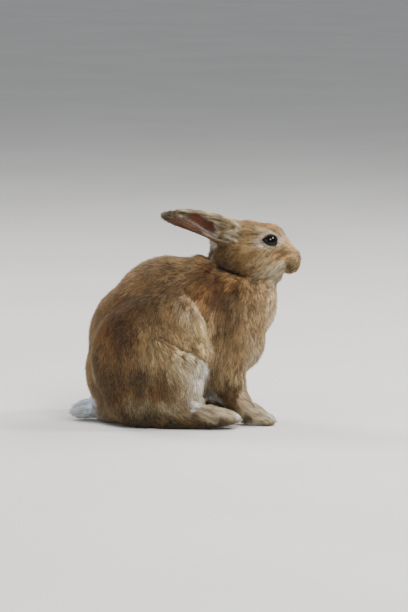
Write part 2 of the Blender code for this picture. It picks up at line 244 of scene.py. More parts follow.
@dataclass(frozen=True)
class EyePlace:
    """Where an eye is and which way it looks."""

    centre: Array
    radius: float
    gaze: Array
    middle: Tuple[float, float] = (0.0015, 0.0006)
    half_length: float = 0.0073
    half_heights: Tuple[float, float] = (0.0062, 0.0044)
    # front and rear corner: place along and above, reach along and above, pull on the rim
    corners: Tuple[Tuple[float, ...], ...] = (
        (0.0080, -0.0050, 0.0040, 0.0036, 0.30),
        (-0.0096, 0.0002, 0.0034, 0.0022, 0.52),
    )

    @classmethod
    def of(cls, side: str) -> "EyePlace":
        """Read the eye of one side from its solid.

        Args:
            side: Left or right.

        Returns:
            The eye's place.
        """
        low, high = (np.array(corner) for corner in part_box(f"eye_{side}"))
        gaze = np.array((0.12, SIDES[side] * 0.97, 0.12))
        return cls((low + high) / 2, float(high[2] - low[2]) / 2, gaze / np.linalg.norm(gaze))

    def frame(self) -> Tuple[Array, Array]:
        """Directions across the eye: to its front corner and up.

        Returns:
            Two unit vectors.
        """
        front = np.array((0.96, 0.0, -0.12))
        front = front - self.gaze * (front @ self.gaze)
        front /= np.linalg.norm(front)
        up = np.cross(self.gaze, front)
        return front, up if up[2] > 0 else -up

    def oval(self, points: Array) -> Array:
        """Distance from the middle of the lids' opening, 1 at its rim.

        Args:
            points: Places, one a row.

        Returns:
            One distance for each place, 9 behind the eye.
        """
        front, up = self.frame()
        away = points - self.centre
        along = away @ front - self.middle[0]
        above = away @ up - self.middle[1]
        height = np.where(above > 0, *self.half_heights)
        oval = np.sqrt((along / self.half_length) ** 2 + (above / height) ** 2)
        for place, rise, wide, high, share in self.corners:
            oval = oval - share * np.exp(-(((along - place) / wide) ** 2 + ((above - rise) / high) ** 2))
        return np.where(away @ self.gaze > 0, oval, 9.0)


EYES = {side: EyePlace.of(side) for side in SIDES}
HEAD_LOW, HEAD_HIGH = (np.array(corner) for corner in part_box("head"))
NOSE_TIP = np.array((HEAD_HIGH[0] - 0.003, 0.0, HEAD_LOW[2] + 0.0285))


# Creases, as lines in the upright X-Z plane that both sides follow
JAW_FOLD = (
    (0.0370, 0.1912), (0.0455, 0.1872), (0.0665, 0.1797), (0.0840, 0.1762), (0.0980, 0.1728),
)
KNEE_FOLD = (
    (-0.0300, 0.1130), (-0.0150, 0.1035), (-0.0050, 0.0975),
    (0.0085, 0.0939), (0.0165, 0.0870), (0.0210, 0.0830),
)
NAPE_DIP = ((0.0130, 0.2010), (0.0200, 0.2025), (0.0270, 0.2040))
NAPE_RISE = ((0.0300, 0.2250), (0.0340, 0.2150), (0.0310, 0.2060))
KNEE_RIDGE = ((-0.0130, 0.0930), (0.0070, 0.0835), (0.0150, 0.0740))
LOBE_RIDGE = ((0.0020, 0.1480), (0.0110, 0.1240), (0.0200, 0.0990))

# Furrows and ridges of the flesh: (line, half width, depth, least distance from the midline)
FURROWS = (
    (JAW_FOLD, 0.0046, 0.0042, 0.012),
    (KNEE_FOLD, 0.0036, 0.0050, 0.030),
    (NAPE_DIP, 0.0070, 0.0034, -1.0),
    (KNEE_RIDGE, 0.0055, -0.0028, 0.030),
    (LOBE_RIDGE, 0.0080, -0.0016, 0.030),
)


def fold_distance(points: Array, line: Line) -> Array:
    """Distance from a crease, seen from the side."""
    flat = points * np.array((1.0, 0.0, 1.0))
    return line_distance(flat, [(x, 0.0, z) for x, z in line])


# ---------------------------------------------------------------- coat lie


@dataclass(frozen=True)
class Growth:
    """How the coat of one part grows: sizes in metres, density a square metre."""

    depth: float
    length: float
    width: float
    density: float

    def row(self) -> Tuple[float, float, float, float]:
        """The sizes in the order of GROWTH_FIELDS."""
        return self.depth, self.length, self.width, self.density


GROWTH_FIELDS = ("depth", "length", "width", "density")
GROWTH = {
    "head": Growth(0.0034, 0.0092, 0.00074, 2.30e6),
    "neck": Growth(0.0058, 0.0145, 0.00115, 1.25e6),
    "trunk": Growth(0.0058, 0.0155, 0.00118, 1.15e6),
    "hind_leg": Growth(0.0058, 0.0155, 0.00118, 1.15e6),
    "tail": Growth(0.0066, 0.0135, 0.00120, 1.30e6),
    "foreleg": Growth(0.0036, 0.0110, 0.00100, 1.20e6),
    "forepaw": Growth(0.0020, 0.0062, 0.00070, 2.00e6),
    "hind_foot": Growth(0.0023, 0.0070, 0.00075, 1.80e6),
    "ear": Growth(0.0005, 0.0042, 0.00050, 2.20e6),
}
FACE = Growth(0.0017, 0.0048, 0.00046, 4.20e6)
LIPS = Growth(0.0011, 0.0026, 0.00036, 4.20e6)
LIDS = Growth(0.0012, 0.0030, 0.00040, 3.60e6)

# Places where the hair stands out more or less: (place, reach, factor)
FLUFF = (
    ((0.0340, 0.008, 0.2130), 0.009, 2.3),
    ((0.1080, 0.000, 0.1660), 0.010, 1.1),
    ((-0.0040, 0.060, 0.0860), 0.007, 1.35),
)

# Combing guides: a place on the midline or the left and the way its hair lies.
GUIDES: Tuple[Tuple[Point, Point], ...] = (
    ((0.134, 0.0, 0.203), (-0.7, 0.0, 0.7)),
    ((0.122, 0.0, 0.221), (-0.75, 0.0, 0.65)),
    ((0.107, 0.0, 0.237), (-0.9, 0.0, 0.4)),
    ((0.086, 0.0, 0.242), (-1.0, 0.0, -0.02)),
    ((0.06, 0.0, 0.238), (-0.95, 0.0, -0.3)),
    ((0.036, 0.0, 0.214), (-0.7, 0.0, -0.7)),
    ((0.128, 0.013, 0.19), (-0.85, 0.25, -0.3)),
    ((0.132, 0.008, 0.2), (-0.85, 0.3, 0.2)),
    ((0.116, 0.017, 0.205), (-0.95, 0.1, -0.1)),
    ((0.114, 0.016, 0.219), (-0.9, 0.15, 0.3)),
    ((0.098, 0.022, 0.234), (-0.95, 0.05, 0.25)),
    ((0.1, 0.026, 0.202), (-0.8, 0.05, -0.6)),
    ((0.082, 0.026, 0.226), (-1.0, 0.0, -0.05)),
    ((0.08, 0.033, 0.198), (-0.6, 0.0, -0.8)),
    ((0.06, 0.033, 0.203), (-0.6, 0.0, -0.8)),
    ((0.096, 0.022, 0.182), (-0.55, 0.0, -0.8)),
    ((0.116, 0.004, 0.172), (-0.95, 0.0, -0.15)),
    ((0.1, 0.0, 0.17), (-0.8, 0.0, -0.4)),
    ((0.045, 0.034, 0.19), (-0.75, 0.0, -0.65)),
    ((0.11, 0.0, 0.155), (-0.1, 0.0, -1.0)),
    ((0.104, 0.0, 0.125), (-0.2, 0.0, -1.0)),
    ((0.094, 0.0, 0.09), (-0.35, 0.0, -0.95)),
    ((0.075, 0.0, 0.064), (-0.6, 0.0, -0.8)),
    ((0.085, 0.034, 0.158), (-0.08, 0.0, -0.99)),
    ((0.078, 0.038, 0.12), (-0.2, 0.0, -0.98)),
    ((0.045, 0.044, 0.156), (-0.2, 0.0, -0.97)),
    ((0.045, 0.045, 0.115), (-0.12, 0.0, -1.0)),
    ((0.05, 0.04, 0.075), (-0.05, 0.0, -1.0)),
    ((0.01, 0.0, 0.2), (-1.0, 0.0, 0.0)),
    ((0.01, 0.03, 0.19), (-0.9, 0.1, -0.42)),
    ((0.01, 0.045, 0.15), (-0.6, 0.0, -0.8)),
    ((0.005, 0.05, 0.115), (-0.15, 0.0, -0.98)),
    ((-0.03, 0.0, 0.2), (-1.0, 0.0, -0.1)),
    ((-0.035, 0.04, 0.178), (-0.8, 0.1, -0.6)),
    ((-0.035, 0.06, 0.14), (-0.22, 0.0, -0.97)),
    ((-0.075, 0.0, 0.178), (-0.75, 0.0, -0.66)),
    ((-0.08, 0.045, 0.14), (-0.25, 0.0, -0.97)),
    ((-0.11, 0.0, 0.13), (-0.35, 0.0, -0.94)),
    ((-0.12, 0.0, 0.08), (-0.05, 0.0, -1.0)),
    ((-0.113, 0.0, 0.04), (0.1, 0.0, -1.0)),
    ((-0.1, 0.05, 0.06), (0.05, 0.0, -1.0)),
    ((-0.05, 0.072, 0.095), (-0.02, 0.0, -1.0)),
    ((-0.045, 0.07, 0.05), (0.1, 0.0, -0.99)),
    ((-0.06, 0.06, 0.015), (0.35, 0.0, -0.94)),
    ((0.005, 0.058, 0.142), (0.15, 0.0, -1.0)),
    ((0.014, 0.058, 0.12), (0.4, 0.0, -0.9)),
    ((-0.012, 0.062, 0.116), (0.5, 0.0, -0.85)),
    ((-0.014, 0.064, 0.099), (0.65, 0.0, -0.75)),
    ((0.012, 0.062, 0.098), (0.5, 0.0, -0.85)),
    ((-0.008, 0.066, 0.085), (0.55, 0.0, -0.8)),
    ((0.01, 0.066, 0.076), (0.35, 0.0, -0.93)),
    ((0.054, 0.024, 0.228), (-0.88, 0.1, 0.35)),
    ((0.064, 0.028, 0.217), (-0.9, 0.05, 0.2)),
    ((0.026, 0.06, 0.08), (-0.05, 0.0, -1.0)),
    ((0.01, 0.066, 0.05), (0.05, 0.0, -1.0)),
    ((-0.02, 0.066, 0.018), (0.75, 0.0, -0.6)),
    ((0.02, 0.052, 0.029), (1.0, 0.0, -0.1)),
    ((0.045, 0.052, 0.024), (0.96, 0.0, -0.28)),
    ((0.045, 0.066, 0.012), (0.95, 0.0, -0.2)),
    ((0.066, 0.052, 0.01), (0.8, 0.0, -0.6)),
    ((0.036, 0.03, 0.05), (0.0, 0.0, -1.0)),
    ((0.062, 0.024, 0.05), (0.15, 0.0, -1.0)),
    ((0.074, 0.026, 0.03), (0.6, 0.0, -0.8)),
    ((0.055, 0.026, 0.018), (0.4, 0.0, -0.9)),
    ((0.09, 0.026, 0.018), (0.94, 0.0, -0.34)),
    ((0.104, 0.026, 0.008), (0.75, 0.0, -0.66)),
    ((0.0, 0.0, 0.03), (-1.0, 0.0, 0.0)),
    ((-0.124, 0.0, 0.026), (-0.95, 0.0, -0.2)),
    ((-0.12, 0.016, 0.014), (-0.95, 0.25, -0.1)),
)


def combed(points: Array, normals: Array) -> Array:
    """The way the hair lies at each place, from the nearest guides.

    Args:
        points: Places, one a row.
        normals: Unit normals of the skin there.

    Returns:
        Unit vectors along the hair.
    """
    places, ways = [], []
    for (x, y, z), (dx, dy, dz) in GUIDES:
        for sign in (1.0, -1.0) if y else (1.0,):
            places.append((x, y * sign, z))
            ways.append((dx, dy * sign, dz))
    places, ways = np.array(places), unit(np.array(ways))
    lie = np.empty_like(points)
    for start in range(0, len(points), 20000):
        chunk = slice(start, start + 20000)
        gap = np.linalg.norm(points[chunk, None, :] - places[None], axis=2)
        weight = 1.0 / (gap + 0.004) ** 4
        lie[chunk] = (weight[:, :, None] * ways[None]).sum(1)
    return flatten(unit(lie), normals)


# ---------------------------------------------------------------- markings


@dataclass(frozen=True)
class Marking:
    """A soft-edged egg of colour on both sides of the body."""

    centre: Point
    radii: Point
    colour: Point
    strength: float = 1.0
    softness: float = 0.35

    def mask(self, points: Array) -> Array:
        """How strongly each place takes the colour.

        Args:
            points: Places, one a row.

        Returns:
            Shares from 0 to the marking's strength.
        """
        folded = points.copy()
        folded[:, 1] = np.abs(folded[:, 1])
        away = np.linalg.norm((folded - np.array(self.centre)) / np.array(self.radii), axis=1)
        return self.strength * (1.0 - ease(1.0 - self.softness, 1.0 + self.softness, away))

    def over(self, base: Array) -> Array:
        """The colour that it lays over another."""
        return np.broadcast_to(self.colour, base.shape)


@dataclass(frozen=True)
class Shade(Marking):
    """A soft egg that multiplies the colour under it by a factor each for red, green and blue, to paint light
    and shade.
    """

    strength: float = 0.90
    softness: float = 0.50

    def over(self, base: Array) -> Array:
        """The colour that it makes of another."""
        return base * self.colour


@dataclass(frozen=True)
class Stroke:
    """A soft line of colour, seen from the side and laid on both flanks."""

    line: Line
    width: float
    colour: Point
    strength: float = 1.0
    outside: float = 0.010
    edge: float = 0.004

    def mask(self, points: Array) -> Array:
        """How strongly each place takes the colour.

        Args:
            points: Places, one a row.

        Returns:
            Shares from 0 to the stroke's strength.
        """
        near = np.exp(-((fold_distance(points, self.line) / self.width) ** 2))
        flank = ease(self.outside - self.edge, self.outside + self.edge, np.abs(points[:, 1]))
        return self.strength * near * flank

    def over(self, base: Array) -> Array:
        """The colour that it lays over another."""
        return np.broadcast_to(self.colour, base.shape)


Marks = Tuple[Union[Marking, Stroke], ...]
TAN = linear(146, 116, 78)
BROWN = linear(96, 70, 44)
DARK = linear(84, 60, 37)
CREAM = linear(214, 198, 168)
WHITE = linear(228, 228, 224)
# white with a painted bluish tint of sky light
SKY_TINTED_WHITE = linear(214, 222, 230)
FOOT = linear(178, 162, 132)

# back and haunch
BACK_MARKS: Marks = (
    Marking((-0.088, 0.04, 0.084), (0.02, 0.06, 0.07), DARK, 0.75),
    Marking((-0.03, 0.03, 0.168), (0.058, 0.04, 0.03), BROWN, 0.7),
    Marking((-0.045, 0.04, 0.166), (0.026, 0.03, 0.012), linear(78, 55, 33), 0.65),
    Marking((-0.058, 0.055, 0.128), (0.024, 0.045, 0.036), linear(62, 42, 25), 0.85),
    Marking((-0.054, 0.062, 0.08), (0.013, 0.03, 0.024), linear(82, 60, 37), 0.65),
    Marking((-0.072, 0.058, 0.11), (0.014, 0.04, 0.013), linear(58, 38, 24), 0.7),
    Marking((-0.086, 0.05, 0.095), (0.004, 0.04, 0.034), linear(108, 82, 52), 0.55),
    Marking((-0.096, 0.05, 0.052), (0.01, 0.04, 0.036), linear(82, 60, 38), 0.6),
    Marking((0.044, 0.036, 0.152), (0.04, 0.035, 0.038), BROWN, 0.75),
    Marking((0.056, 0.036, 0.153), (0.026, 0.035, 0.014), linear(68, 47, 27), 0.8),
    Marking((-0.036, 0.064, 0.108), (0.017, 0.03, 0.03), linear(146, 122, 86), 0.75),
    Marking((-0.04, 0.062, 0.03), (0.042, 0.03, 0.016), linear(94, 79, 55), 0.85),
    Marking((-0.05, 0.062, 0.059), (0.012, 0.03, 0.013), linear(46, 32, 20), 0.6, 0.6),
    Marking((-0.028, 0.062, 0.052), (0.014, 0.03, 0.012), linear(104, 66, 36), 0.85, 0.5),
    Marking((-0.02, 0.06, 0.03), (0.014, 0.03, 0.01), linear(134, 120, 92), 0.65),
    # darker towards the floor: painted shade where the haunch sits on it
    Marking((-0.03, 0.05, 0.01), (0.06, 0.04, 0.009), linear(90, 74, 50), 0.8),
    Marking((-0.064, 0.05, 0.017), (0.024, 0.04, 0.013), linear(58, 42, 27), 0.8),
    Marking((-0.045, 0.04, 0.0), (0.085, 0.06, 0.01), linear(44, 34, 22), 0.9),
)
# flank, knee and shin
FLANK_MARKS: Marks = (
    Marking((0.004, 0.056, 0.14), (0.014, 0.03, 0.021), linear(160, 134, 102), 0.85),
    Marking((0.015, 0.054, 0.113), (0.018, 0.03, 0.024), linear(184, 157, 110), 0.85),
    # lighter in front of the flank fold: painted light where the fold shades the fur
    Marking((0.036, 0.046, 0.096), (0.009, 0.03, 0.018), linear(156, 130, 94), 0.75),
    Stroke(((0.015, 0.133), (0.023, 0.119), (0.029, 0.104)), 0.0016, CREAM, 0.7, 0.03),
    Marking((0.0005, 0.064, 0.139), (0.0048, 0.02, 0.008), CREAM, 0.8),
    Marking((0.004, 0.062, 0.066), (0.026, 0.03, 0.026), linear(200, 183, 150), 0.85, 0.5),
    Marking((0.012, 0.06, 0.046), (0.01, 0.022, 0.018), linear(196, 184, 156), 0.8, 0.5),
    Marking((0.017, 0.056, 0.062), (0.011, 0.026, 0.029), linear(226, 217, 196), 0.95, 0.5),
    # bluish white spots on the knee and shin: painted highlights of sky light
    Marking((0.026, 0.056, 0.068), (0.005, 0.026, 0.012), SKY_TINTED_WHITE, 0.8, 0.5),
    Marking((0.007, 0.064, 0.03), (0.006, 0.014, 0.01), SKY_TINTED_WHITE, 0.9),
    # brown heel, darkened as painted shade near the floor
    Marking((0.004, 0.06, 0.01), (0.012, 0.02, 0.009), linear(98, 73, 44), 0.9),
    # pale strokes on the knee's ridges: painted highlights
    Stroke(KNEE_RIDGE, 0.0042, linear(208, 184, 138), 0.55, 0.03),
    Stroke(KNEE_RIDGE[1:], 0.004, linear(226, 208, 168), 0.85, 0.03),
    Stroke(((-0.024, 0.083), (-0.008, 0.073)), 0.0034, linear(176, 154, 112), 0.55, 0.03),
    # dark strokes in the knee fold: painted shade in the crease
    Stroke(KNEE_FOLD[:3], 0.0028, linear(84, 60, 36), 0.4, 0.03),
    Stroke(KNEE_FOLD[2:], 0.0029, linear(58, 40, 23), 0.85, 0.03),
)
# chest and forelegs
CHEST_MARKS: Marks = (
    Marking((0.088, 0.015, 0.128), (0.028, 0.045, 0.05), linear(170, 142, 104), 0.85),
    Marking((0.107, 0.0, 0.138), (0.014, 0.04, 0.045), linear(212, 188, 150), 0.8),
    Marking((0.086, 0.012, 0.08), (0.022, 0.034, 0.028), linear(198, 178, 146), 0.85),
    Marking((0.052, 0.032, 0.04), (0.018, 0.022, 0.026), linear(122, 98, 68), 0.7),
    Marking((0.071, 0.028, 0.046), (0.01, 0.03, 0.024), linear(196, 174, 138), 0.75),
    Marking((0.0, 0.0, 0.03), (0.062, 0.034, 0.024), linear(160, 148, 124), 0.85),
    # white fluff between knee and foreleg, made whiter as painted light in its shade
    Marking((0.03, 0.024, 0.035), (0.013, 0.03, 0.014), WHITE, 0.95),
)
# feet and tail
FOOT_MARKS: Marks = (
    Marking((0.086, 0.026, 0.016), (0.03, 0.02, 0.018), FOOT, 0.85),
    # white on the forepaw's toes: painted highlight
    Marking((0.103, 0.026, 0.015), (0.007, 0.014, 0.007), WHITE, 0.75),
    Marking((0.04, 0.054, 0.016), (0.04, 0.022, 0.018), FOOT, 0.9),
    # white on the hind foot's toes: painted highlight
    Marking((0.063, 0.054, 0.017), (0.008, 0.016, 0.006), WHITE, 0.75),
    # painted shade under the hind feet, by the floor
    Marking((0.016, 0.06, 0.003), (0.05, 0.026, 0.009), linear(46, 36, 24), 0.85),
    # white tail with a painted bluish tint of sky light
    Marking((-0.108, 0.03, 0.006), (0.02, 0.045, 0.015), SKY_TINTED_WHITE, 0.9),
    Marking((-0.124, 0.0, 0.018), (0.03, 0.03, 0.028), SKY_TINTED_WHITE, 1.0, 0.25),
)
# painted light and shade on the body's forms: factors under 1 paint shade, factors over 1 paint light
BODY_PAINTED_LIGHT_AND_SHADE: Marks = (
    Shade((-0.072, 0.06, 0.134), (0.016, 0.05, 0.034), (0.7, 0.61, 0.48)),
    Shade((-0.054, 0.03, 0.182), (0.022, 0.05, 0.014), (1.3, 1.3, 1.3)),
    Shade((-0.037, 0.055, 0.15), (0.014, 0.04, 0.036), (0.62, 0.56, 0.46)),
    Shade((-0.045, 0.06, 0.052), (0.052, 0.05, 0.016), (0.72, 0.66, 0.56)),
    Shade((-0.023, 0.06, 0.06), (0.016, 0.05, 0.014), (0.54, 0.5, 0.42)),
    Shade((-0.072, 0.055, 0.05), (0.016, 0.05, 0.024), (0.7, 0.6, 0.48)),
    Shade((-0.077, 0.055, 0.022), (0.022, 0.05, 0.01), (0.9, 0.84, 0.74), 0.8),
    Shade((-0.048, 0.055, 0.008), (0.052, 0.05, 0.009), (0.62, 0.56, 0.46)),
    Shade((0.024, 0.06, 0.008), (0.026, 0.024, 0.007), (0.34, 0.3, 0.24)),
    Shade((0.016, 0.054, 0.159), (0.012, 0.03, 0.012), (2.2, 2.3, 2.4)),
    Shade((0.024, 0.046, 0.132), (0.012, 0.04, 0.034), (2.4, 2.5, 2.7)),
    Shade((0.058, 0.032, 0.142), (0.019, 0.04, 0.034), (0.72, 0.67, 0.58)),
    Shade((0.006, 0.062, 0.106), (0.01, 0.04, 0.009), (0.52, 0.48, 0.42)),
    Shade((-0.016, 0.06, 0.096), (0.02, 0.04, 0.012), (1.25, 1.27, 1.32)),
    Shade((-0.07, 0.06, 0.066), (0.012, 0.04, 0.012), (0.76, 0.7, 0.62)),
    Shade((-0.028, 0.05, 0.172), (0.018, 0.04, 0.012), (0.95, 0.9, 0.84)),
    Shade((-0.024, 0.06, 0.131), (0.014, 0.04, 0.01), (0.78, 0.74, 0.66)),
    Shade((0.045, 0.036, 0.064), (0.014, 0.03, 0.02), (1.4, 1.6, 1.9)),
    Shade((0.032, 0.034, 0.181), (0.012, 0.04, 0.008), (0.5, 0.44, 0.36)),
    Shade((0.046, 0.034, 0.168), (0.024, 0.04, 0.011), (0.62, 0.54, 0.43), 0.95),
    Shade((-0.086, 0.055, 0.135), (0.026, 0.06, 0.02), (0.82, 0.72, 0.58)),
    Shade((-0.07, 0.055, 0.068), (0.034, 0.06, 0.018), (0.76, 0.72, 0.66)),
    Shade((-0.055, 0.045, 0.173), (0.018, 0.06, 0.011), (1.4, 1.4, 1.4)),
    Shade((-0.01, 0.05, 0.1625), (0.013, 0.04, 0.011), (0.64, 0.6, 0.54)),
    Shade((0.0125, 0.03, 0.1955), (0.013, 0.03, 0.008), (0.7, 0.6, 0.46)),
    Shade((-0.045, 0.055, 0.035), (0.03, 0.06, 0.009), (1.5, 1.68, 1.95)),
    Shade((0.017, 0.05, 0.074), (0.018, 0.04, 0.009), (1.35, 1.45, 1.62)),
    Shade((0.04, 0.036, 0.112), (0.01, 0.04, 0.022), (1.26, 1.38, 1.56)),
    Shade((0.012, 0.06, 0.009), (0.03, 0.03, 0.008), (0.52, 0.5, 0.47)),
    Shade((-0.072, 0.055, 0.128), (0.024, 0.06, 0.034), (1.24, 0.98, 0.62)),
    Shade((0.04, 0.04, 0.175), (0.024, 0.04, 0.02), (1.24, 0.96, 0.62)),
    Shade((-0.039, 0.05, 0.168), (0.011, 0.06, 0.008), (1.6, 1.55, 1.5)),
    Shade((-0.082, 0.05, 0.082), (0.012, 0.06, 0.014), (0.74, 0.7, 0.64)),
    Shade((-0.028, 0.055, 0.064), (0.014, 0.05, 0.018), (0.76, 0.72, 0.66)),
    Shade((0.029, 0.02, 0.186), (0.009, 0.04, 0.006), (0.76, 0.64, 0.48)),
    Shade((0.0505, 0.04, 0.176), (0.012, 0.04, 0.008), (0.66, 0.61, 0.54)),
    Shade((0.065, 0.034, 0.164), (0.01, 0.04, 0.007), (1.3, 1.3, 1.28)),
    Shade((0.041, 0.04, 0.142), (0.01, 0.04, 0.009), (1.55, 1.48, 1.45)),
    Shade((-0.008, 0.055, 0.161), (0.012, 0.05, 0.007), (0.8, 0.77, 0.72)),
    Shade((-0.072, 0.055, 0.148), (0.014, 0.05, 0.01), (0.76, 0.73, 0.68)),
    Shade((-0.04, 0.055, 0.073), (0.018, 0.05, 0.012), (0.68, 0.66, 0.62)),
    Shade((0.0235, 0.05, 0.047), (0.0045, 0.03, 0.012), (0.55, 0.5, 0.44)),
    Shade((-0.03, 0.055, 0.052), (0.013, 0.05, 0.008), (1.7, 1.85, 2.05)),
    Shade((0.013, 0.056, 0.164), (0.008, 0.03, 0.006), (1.6, 1.64, 1.7)),
    Shade((0.084, 0.03, 0.16), (0.022, 0.04, 0.016), (1.24, 1.22, 1.18)),
    Shade((0.014, 0.06, 0.097), (0.009, 0.04, 0.006), (0.62, 0.58, 0.5)),
    Shade((0.025, 0.056, 0.124), (0.008, 0.03, 0.012), (0.72, 0.7, 0.66)),
    Shade((-0.05, 0.055, 0.02), (0.028, 0.06, 0.008), (0.66, 0.64, 0.62)),
    Shade((0.007, 0.06, 0.156), (0.008, 0.04, 0.006), (1.5, 1.52, 1.55)),
    Shade((-0.04, 0.058, 0.03), (0.006, 0.05, 0.008), (0.62, 0.6, 0.57)),
    Shade((-0.062, 0.058, 0.038), (0.012, 0.05, 0.006), (1.35, 1.5, 1.7)),
    Shade((-0.096, 0.045, 0.024), (0.016, 0.05, 0.01), (1.3, 1.48, 1.8)),
    Shade((-0.081, 0.055, 0.065), (0.006, 0.05, 0.007), (1.4, 1.38, 1.42)),
    Shade((0.096, 0.014, 0.116), (0.01, 0.04, 0.024), (1.4, 1.35, 1.3)),
    Shade((-0.004, 0.06, 0.044), (0.006, 0.04, 0.008), (0.74, 0.72, 0.68)),
    Shade((-0.047, 0.058, 0.027), (0.01, 0.05, 0.008), (0.66, 0.64, 0.61)),
    Shade((-0.086, 0.05, 0.046), (0.01, 0.05, 0.01), (0.78, 0.74, 0.7)),
    Shade((-0.028, 0.055, 0.151), (0.008, 0.05, 0.007), (0.74, 0.72, 0.7)),
    Shade((0.1077, 0.022, 0.21), (0.008, 0.02, 0.005), (0.76, 0.68, 0.58)),
    Shade((0.0887, 0.024, 0.2015), (0.006, 0.02, 0.005), (0.78, 0.77, 0.74)),
    Shade((0.0315, 0.04, 0.184), (0.006, 0.03, 0.005), (0.64, 0.56, 0.46)),
    Shade((0.045, 0.04, 0.1745), (0.006, 0.03, 0.005), (0.7, 0.64, 0.56)),
    Shade((0.0043, 0.06, 0.1), (0.006, 0.03, 0.004), (0.76, 0.71, 0.65)),
    Shade((0.024, 0.056, 0.04), (0.0035, 0.03, 0.008), (0.55, 0.52, 0.47)),
    Shade((-0.053, 0.05, 0.0235), (0.018, 0.05, 0.007), (0.73, 0.71, 0.69)),
    Shade((0.041, 0.03, 0.203), (0.008, 0.03, 0.0065), (1.5, 1.28, 0.88)),
    Shade((0.0665, 0.046, 0.008), (0.0042, 0.02, 0.012), (0.34, 0.31, 0.26)),
    Shade((0.052, 0.028, 0.036), (0.01, 0.02, 0.013), (0.48, 0.44, 0.36)),
)
# painted shade at the hind heels, inside the forelegs and behind the forepaws
PAW_PAINTED_SHADE: Marks = (
    Marking((0.006, 0.062, 0.013), (0.014, 0.03, 0.008), linear(70, 50, 26), 0.8),
    Marking((0.053, 0.038, 0.05), (0.011, 0.03, 0.012), linear(80, 51, 26), 0.85, 0.3),
    Marking((0.0664, 0.026, 0.007), (0.0055, 0.02, 0.01), linear(48, 36, 24), 0.88),
)
# neck and nape
NECK_MARKS: Marks = (
    Stroke(
        ((0.04, 0.1825), (0.062, 0.174), (0.084, 0.169), (0.098, 0.1655)),
        0.0036, linear(168, 124, 74), 0.8, 0.006,
    ),
    Marking((0.012, 0.0, 0.202), (0.026, 0.036, 0.01), linear(140, 106, 66), 0.7),
)
# head
HEAD_MARKS: Marks = (
    Marking((0.09, 0.0, 0.206), (0.058, 0.06, 0.034), linear(152, 126, 86), 0.85),
    Marking((0.042, 0.03, 0.206), (0.018, 0.03, 0.02), linear(88, 65, 38), 0.8),
    # painted shade at the rear of the jaw fold
    Marking((0.052, 0.032, 0.19), (0.022, 0.03, 0.011), linear(76, 54, 30), 0.8),
    Marking((0.074, 0.034, 0.196), (0.015, 0.03, 0.01), linear(120, 95, 60), 0.65),
    Marking((0.1, 0.0, 0.24), (0.03, 0.014, 0.014), linear(190, 146, 92), 0.85),
    Marking((0.12, 0.0, 0.22), (0.014, 0.016, 0.018), linear(206, 172, 126), 0.85),
    Marking((0.131, 0.0, 0.202), (0.01, 0.018, 0.014), linear(196, 164, 124), 0.8),
    Marking((0.1015, 0.026, 0.2212), (0.0146, 0.016, 0.0088), linear(198, 182, 154), 0.85, 0.28),
    Marking((0.114, 0.02, 0.2205), (0.0036, 0.016, 0.0072), linear(224, 214, 198), 0.8, 0.45),
    Marking((0.0905, 0.026, 0.216), (0.0052, 0.016, 0.0034), linear(216, 206, 190), 0.7, 0.45),
    Marking((0.0945, 0.022, 0.232), (0.0095, 0.014, 0.0075), linear(200, 180, 144), 0.75, 0.45),
    Marking((0.072, 0.026, 0.228), (0.012, 0.02, 0.011), linear(142, 115, 76), 0.7, 0.45),
    Marking((0.0945, 0.024, 0.229), (0.0065, 0.01, 0.0022), linear(140, 120, 96), 0.55),
    Marking((0.086, 0.026, 0.219), (0.005, 0.012, 0.006), linear(158, 146, 126), 0.6),
    Marking((0.111, 0.02, 0.204), (0.008, 0.012, 0.0065), linear(176, 134, 90), 0.35, 0.5),
    Marking((0.056, 0.026, 0.224), (0.011, 0.014, 0.01), linear(158, 144, 118), 0.8),
    # dark patch at the corner of the mouth: painted shade under the upper lip
    Marking((0.1225, 0.012, 0.188), (0.0065, 0.012, 0.007), linear(120, 96, 54), 0.85, 0.45),
    Marking((0.1215, 0.012, 0.1885), (0.003, 0.012, 0.0034), linear(66, 48, 20), 0.9, 0.5),
    Marking((0.111, 0.016, 0.185), (0.007, 0.014, 0.012), linear(208, 194, 162), 0.8, 0.5),
    # pale fur on the lower jaw, lightened further as painted light in the jaw's shade
    Marking((0.096, 0.022, 0.1835), (0.015, 0.024, 0.008), linear(214, 200, 168), 0.75, 0.45),
    Marking((0.086, 0.03, 0.197), (0.012, 0.024, 0.005), linear(176, 156, 120), 0.6, 0.45),
    Marking((0.108, 0.0, 0.1715), (0.012, 0.012, 0.0065), linear(196, 184, 160), 0.8),
)
# where the ear meets the head: dark strokes paint shade in its folds, pale strokes are streaks of cream fur
EAR_ROOT_MARKS: Marks = (
    Stroke(((0.043, 0.227), (0.053, 0.2205), (0.062, 0.215)), 0.0012, linear(70, 58, 44), 0.9),
    Stroke(((0.044, 0.23), (0.056, 0.2225), (0.064, 0.2165)), 0.001, linear(210, 196, 168), 0.8),
    Stroke(((0.052, 0.229), (0.059, 0.2245), (0.066, 0.218)), 0.0011, linear(66, 52, 38), 0.9),
    Stroke(((0.054, 0.233), (0.062, 0.227), (0.068, 0.22)), 0.0011, linear(214, 198, 166), 0.8),
    Stroke(((0.059, 0.236), (0.065, 0.231), (0.07, 0.224)), 0.0011, linear(72, 54, 36), 0.85),
    Stroke(((0.048, 0.238), (0.058, 0.2345), (0.066, 0.229)), 0.002, linear(216, 200, 168), 0.85),
    Stroke(((0.07, 0.224), (0.069, 0.21), (0.064, 0.2)), 0.0022, linear(112, 84, 50), 0.6),
)
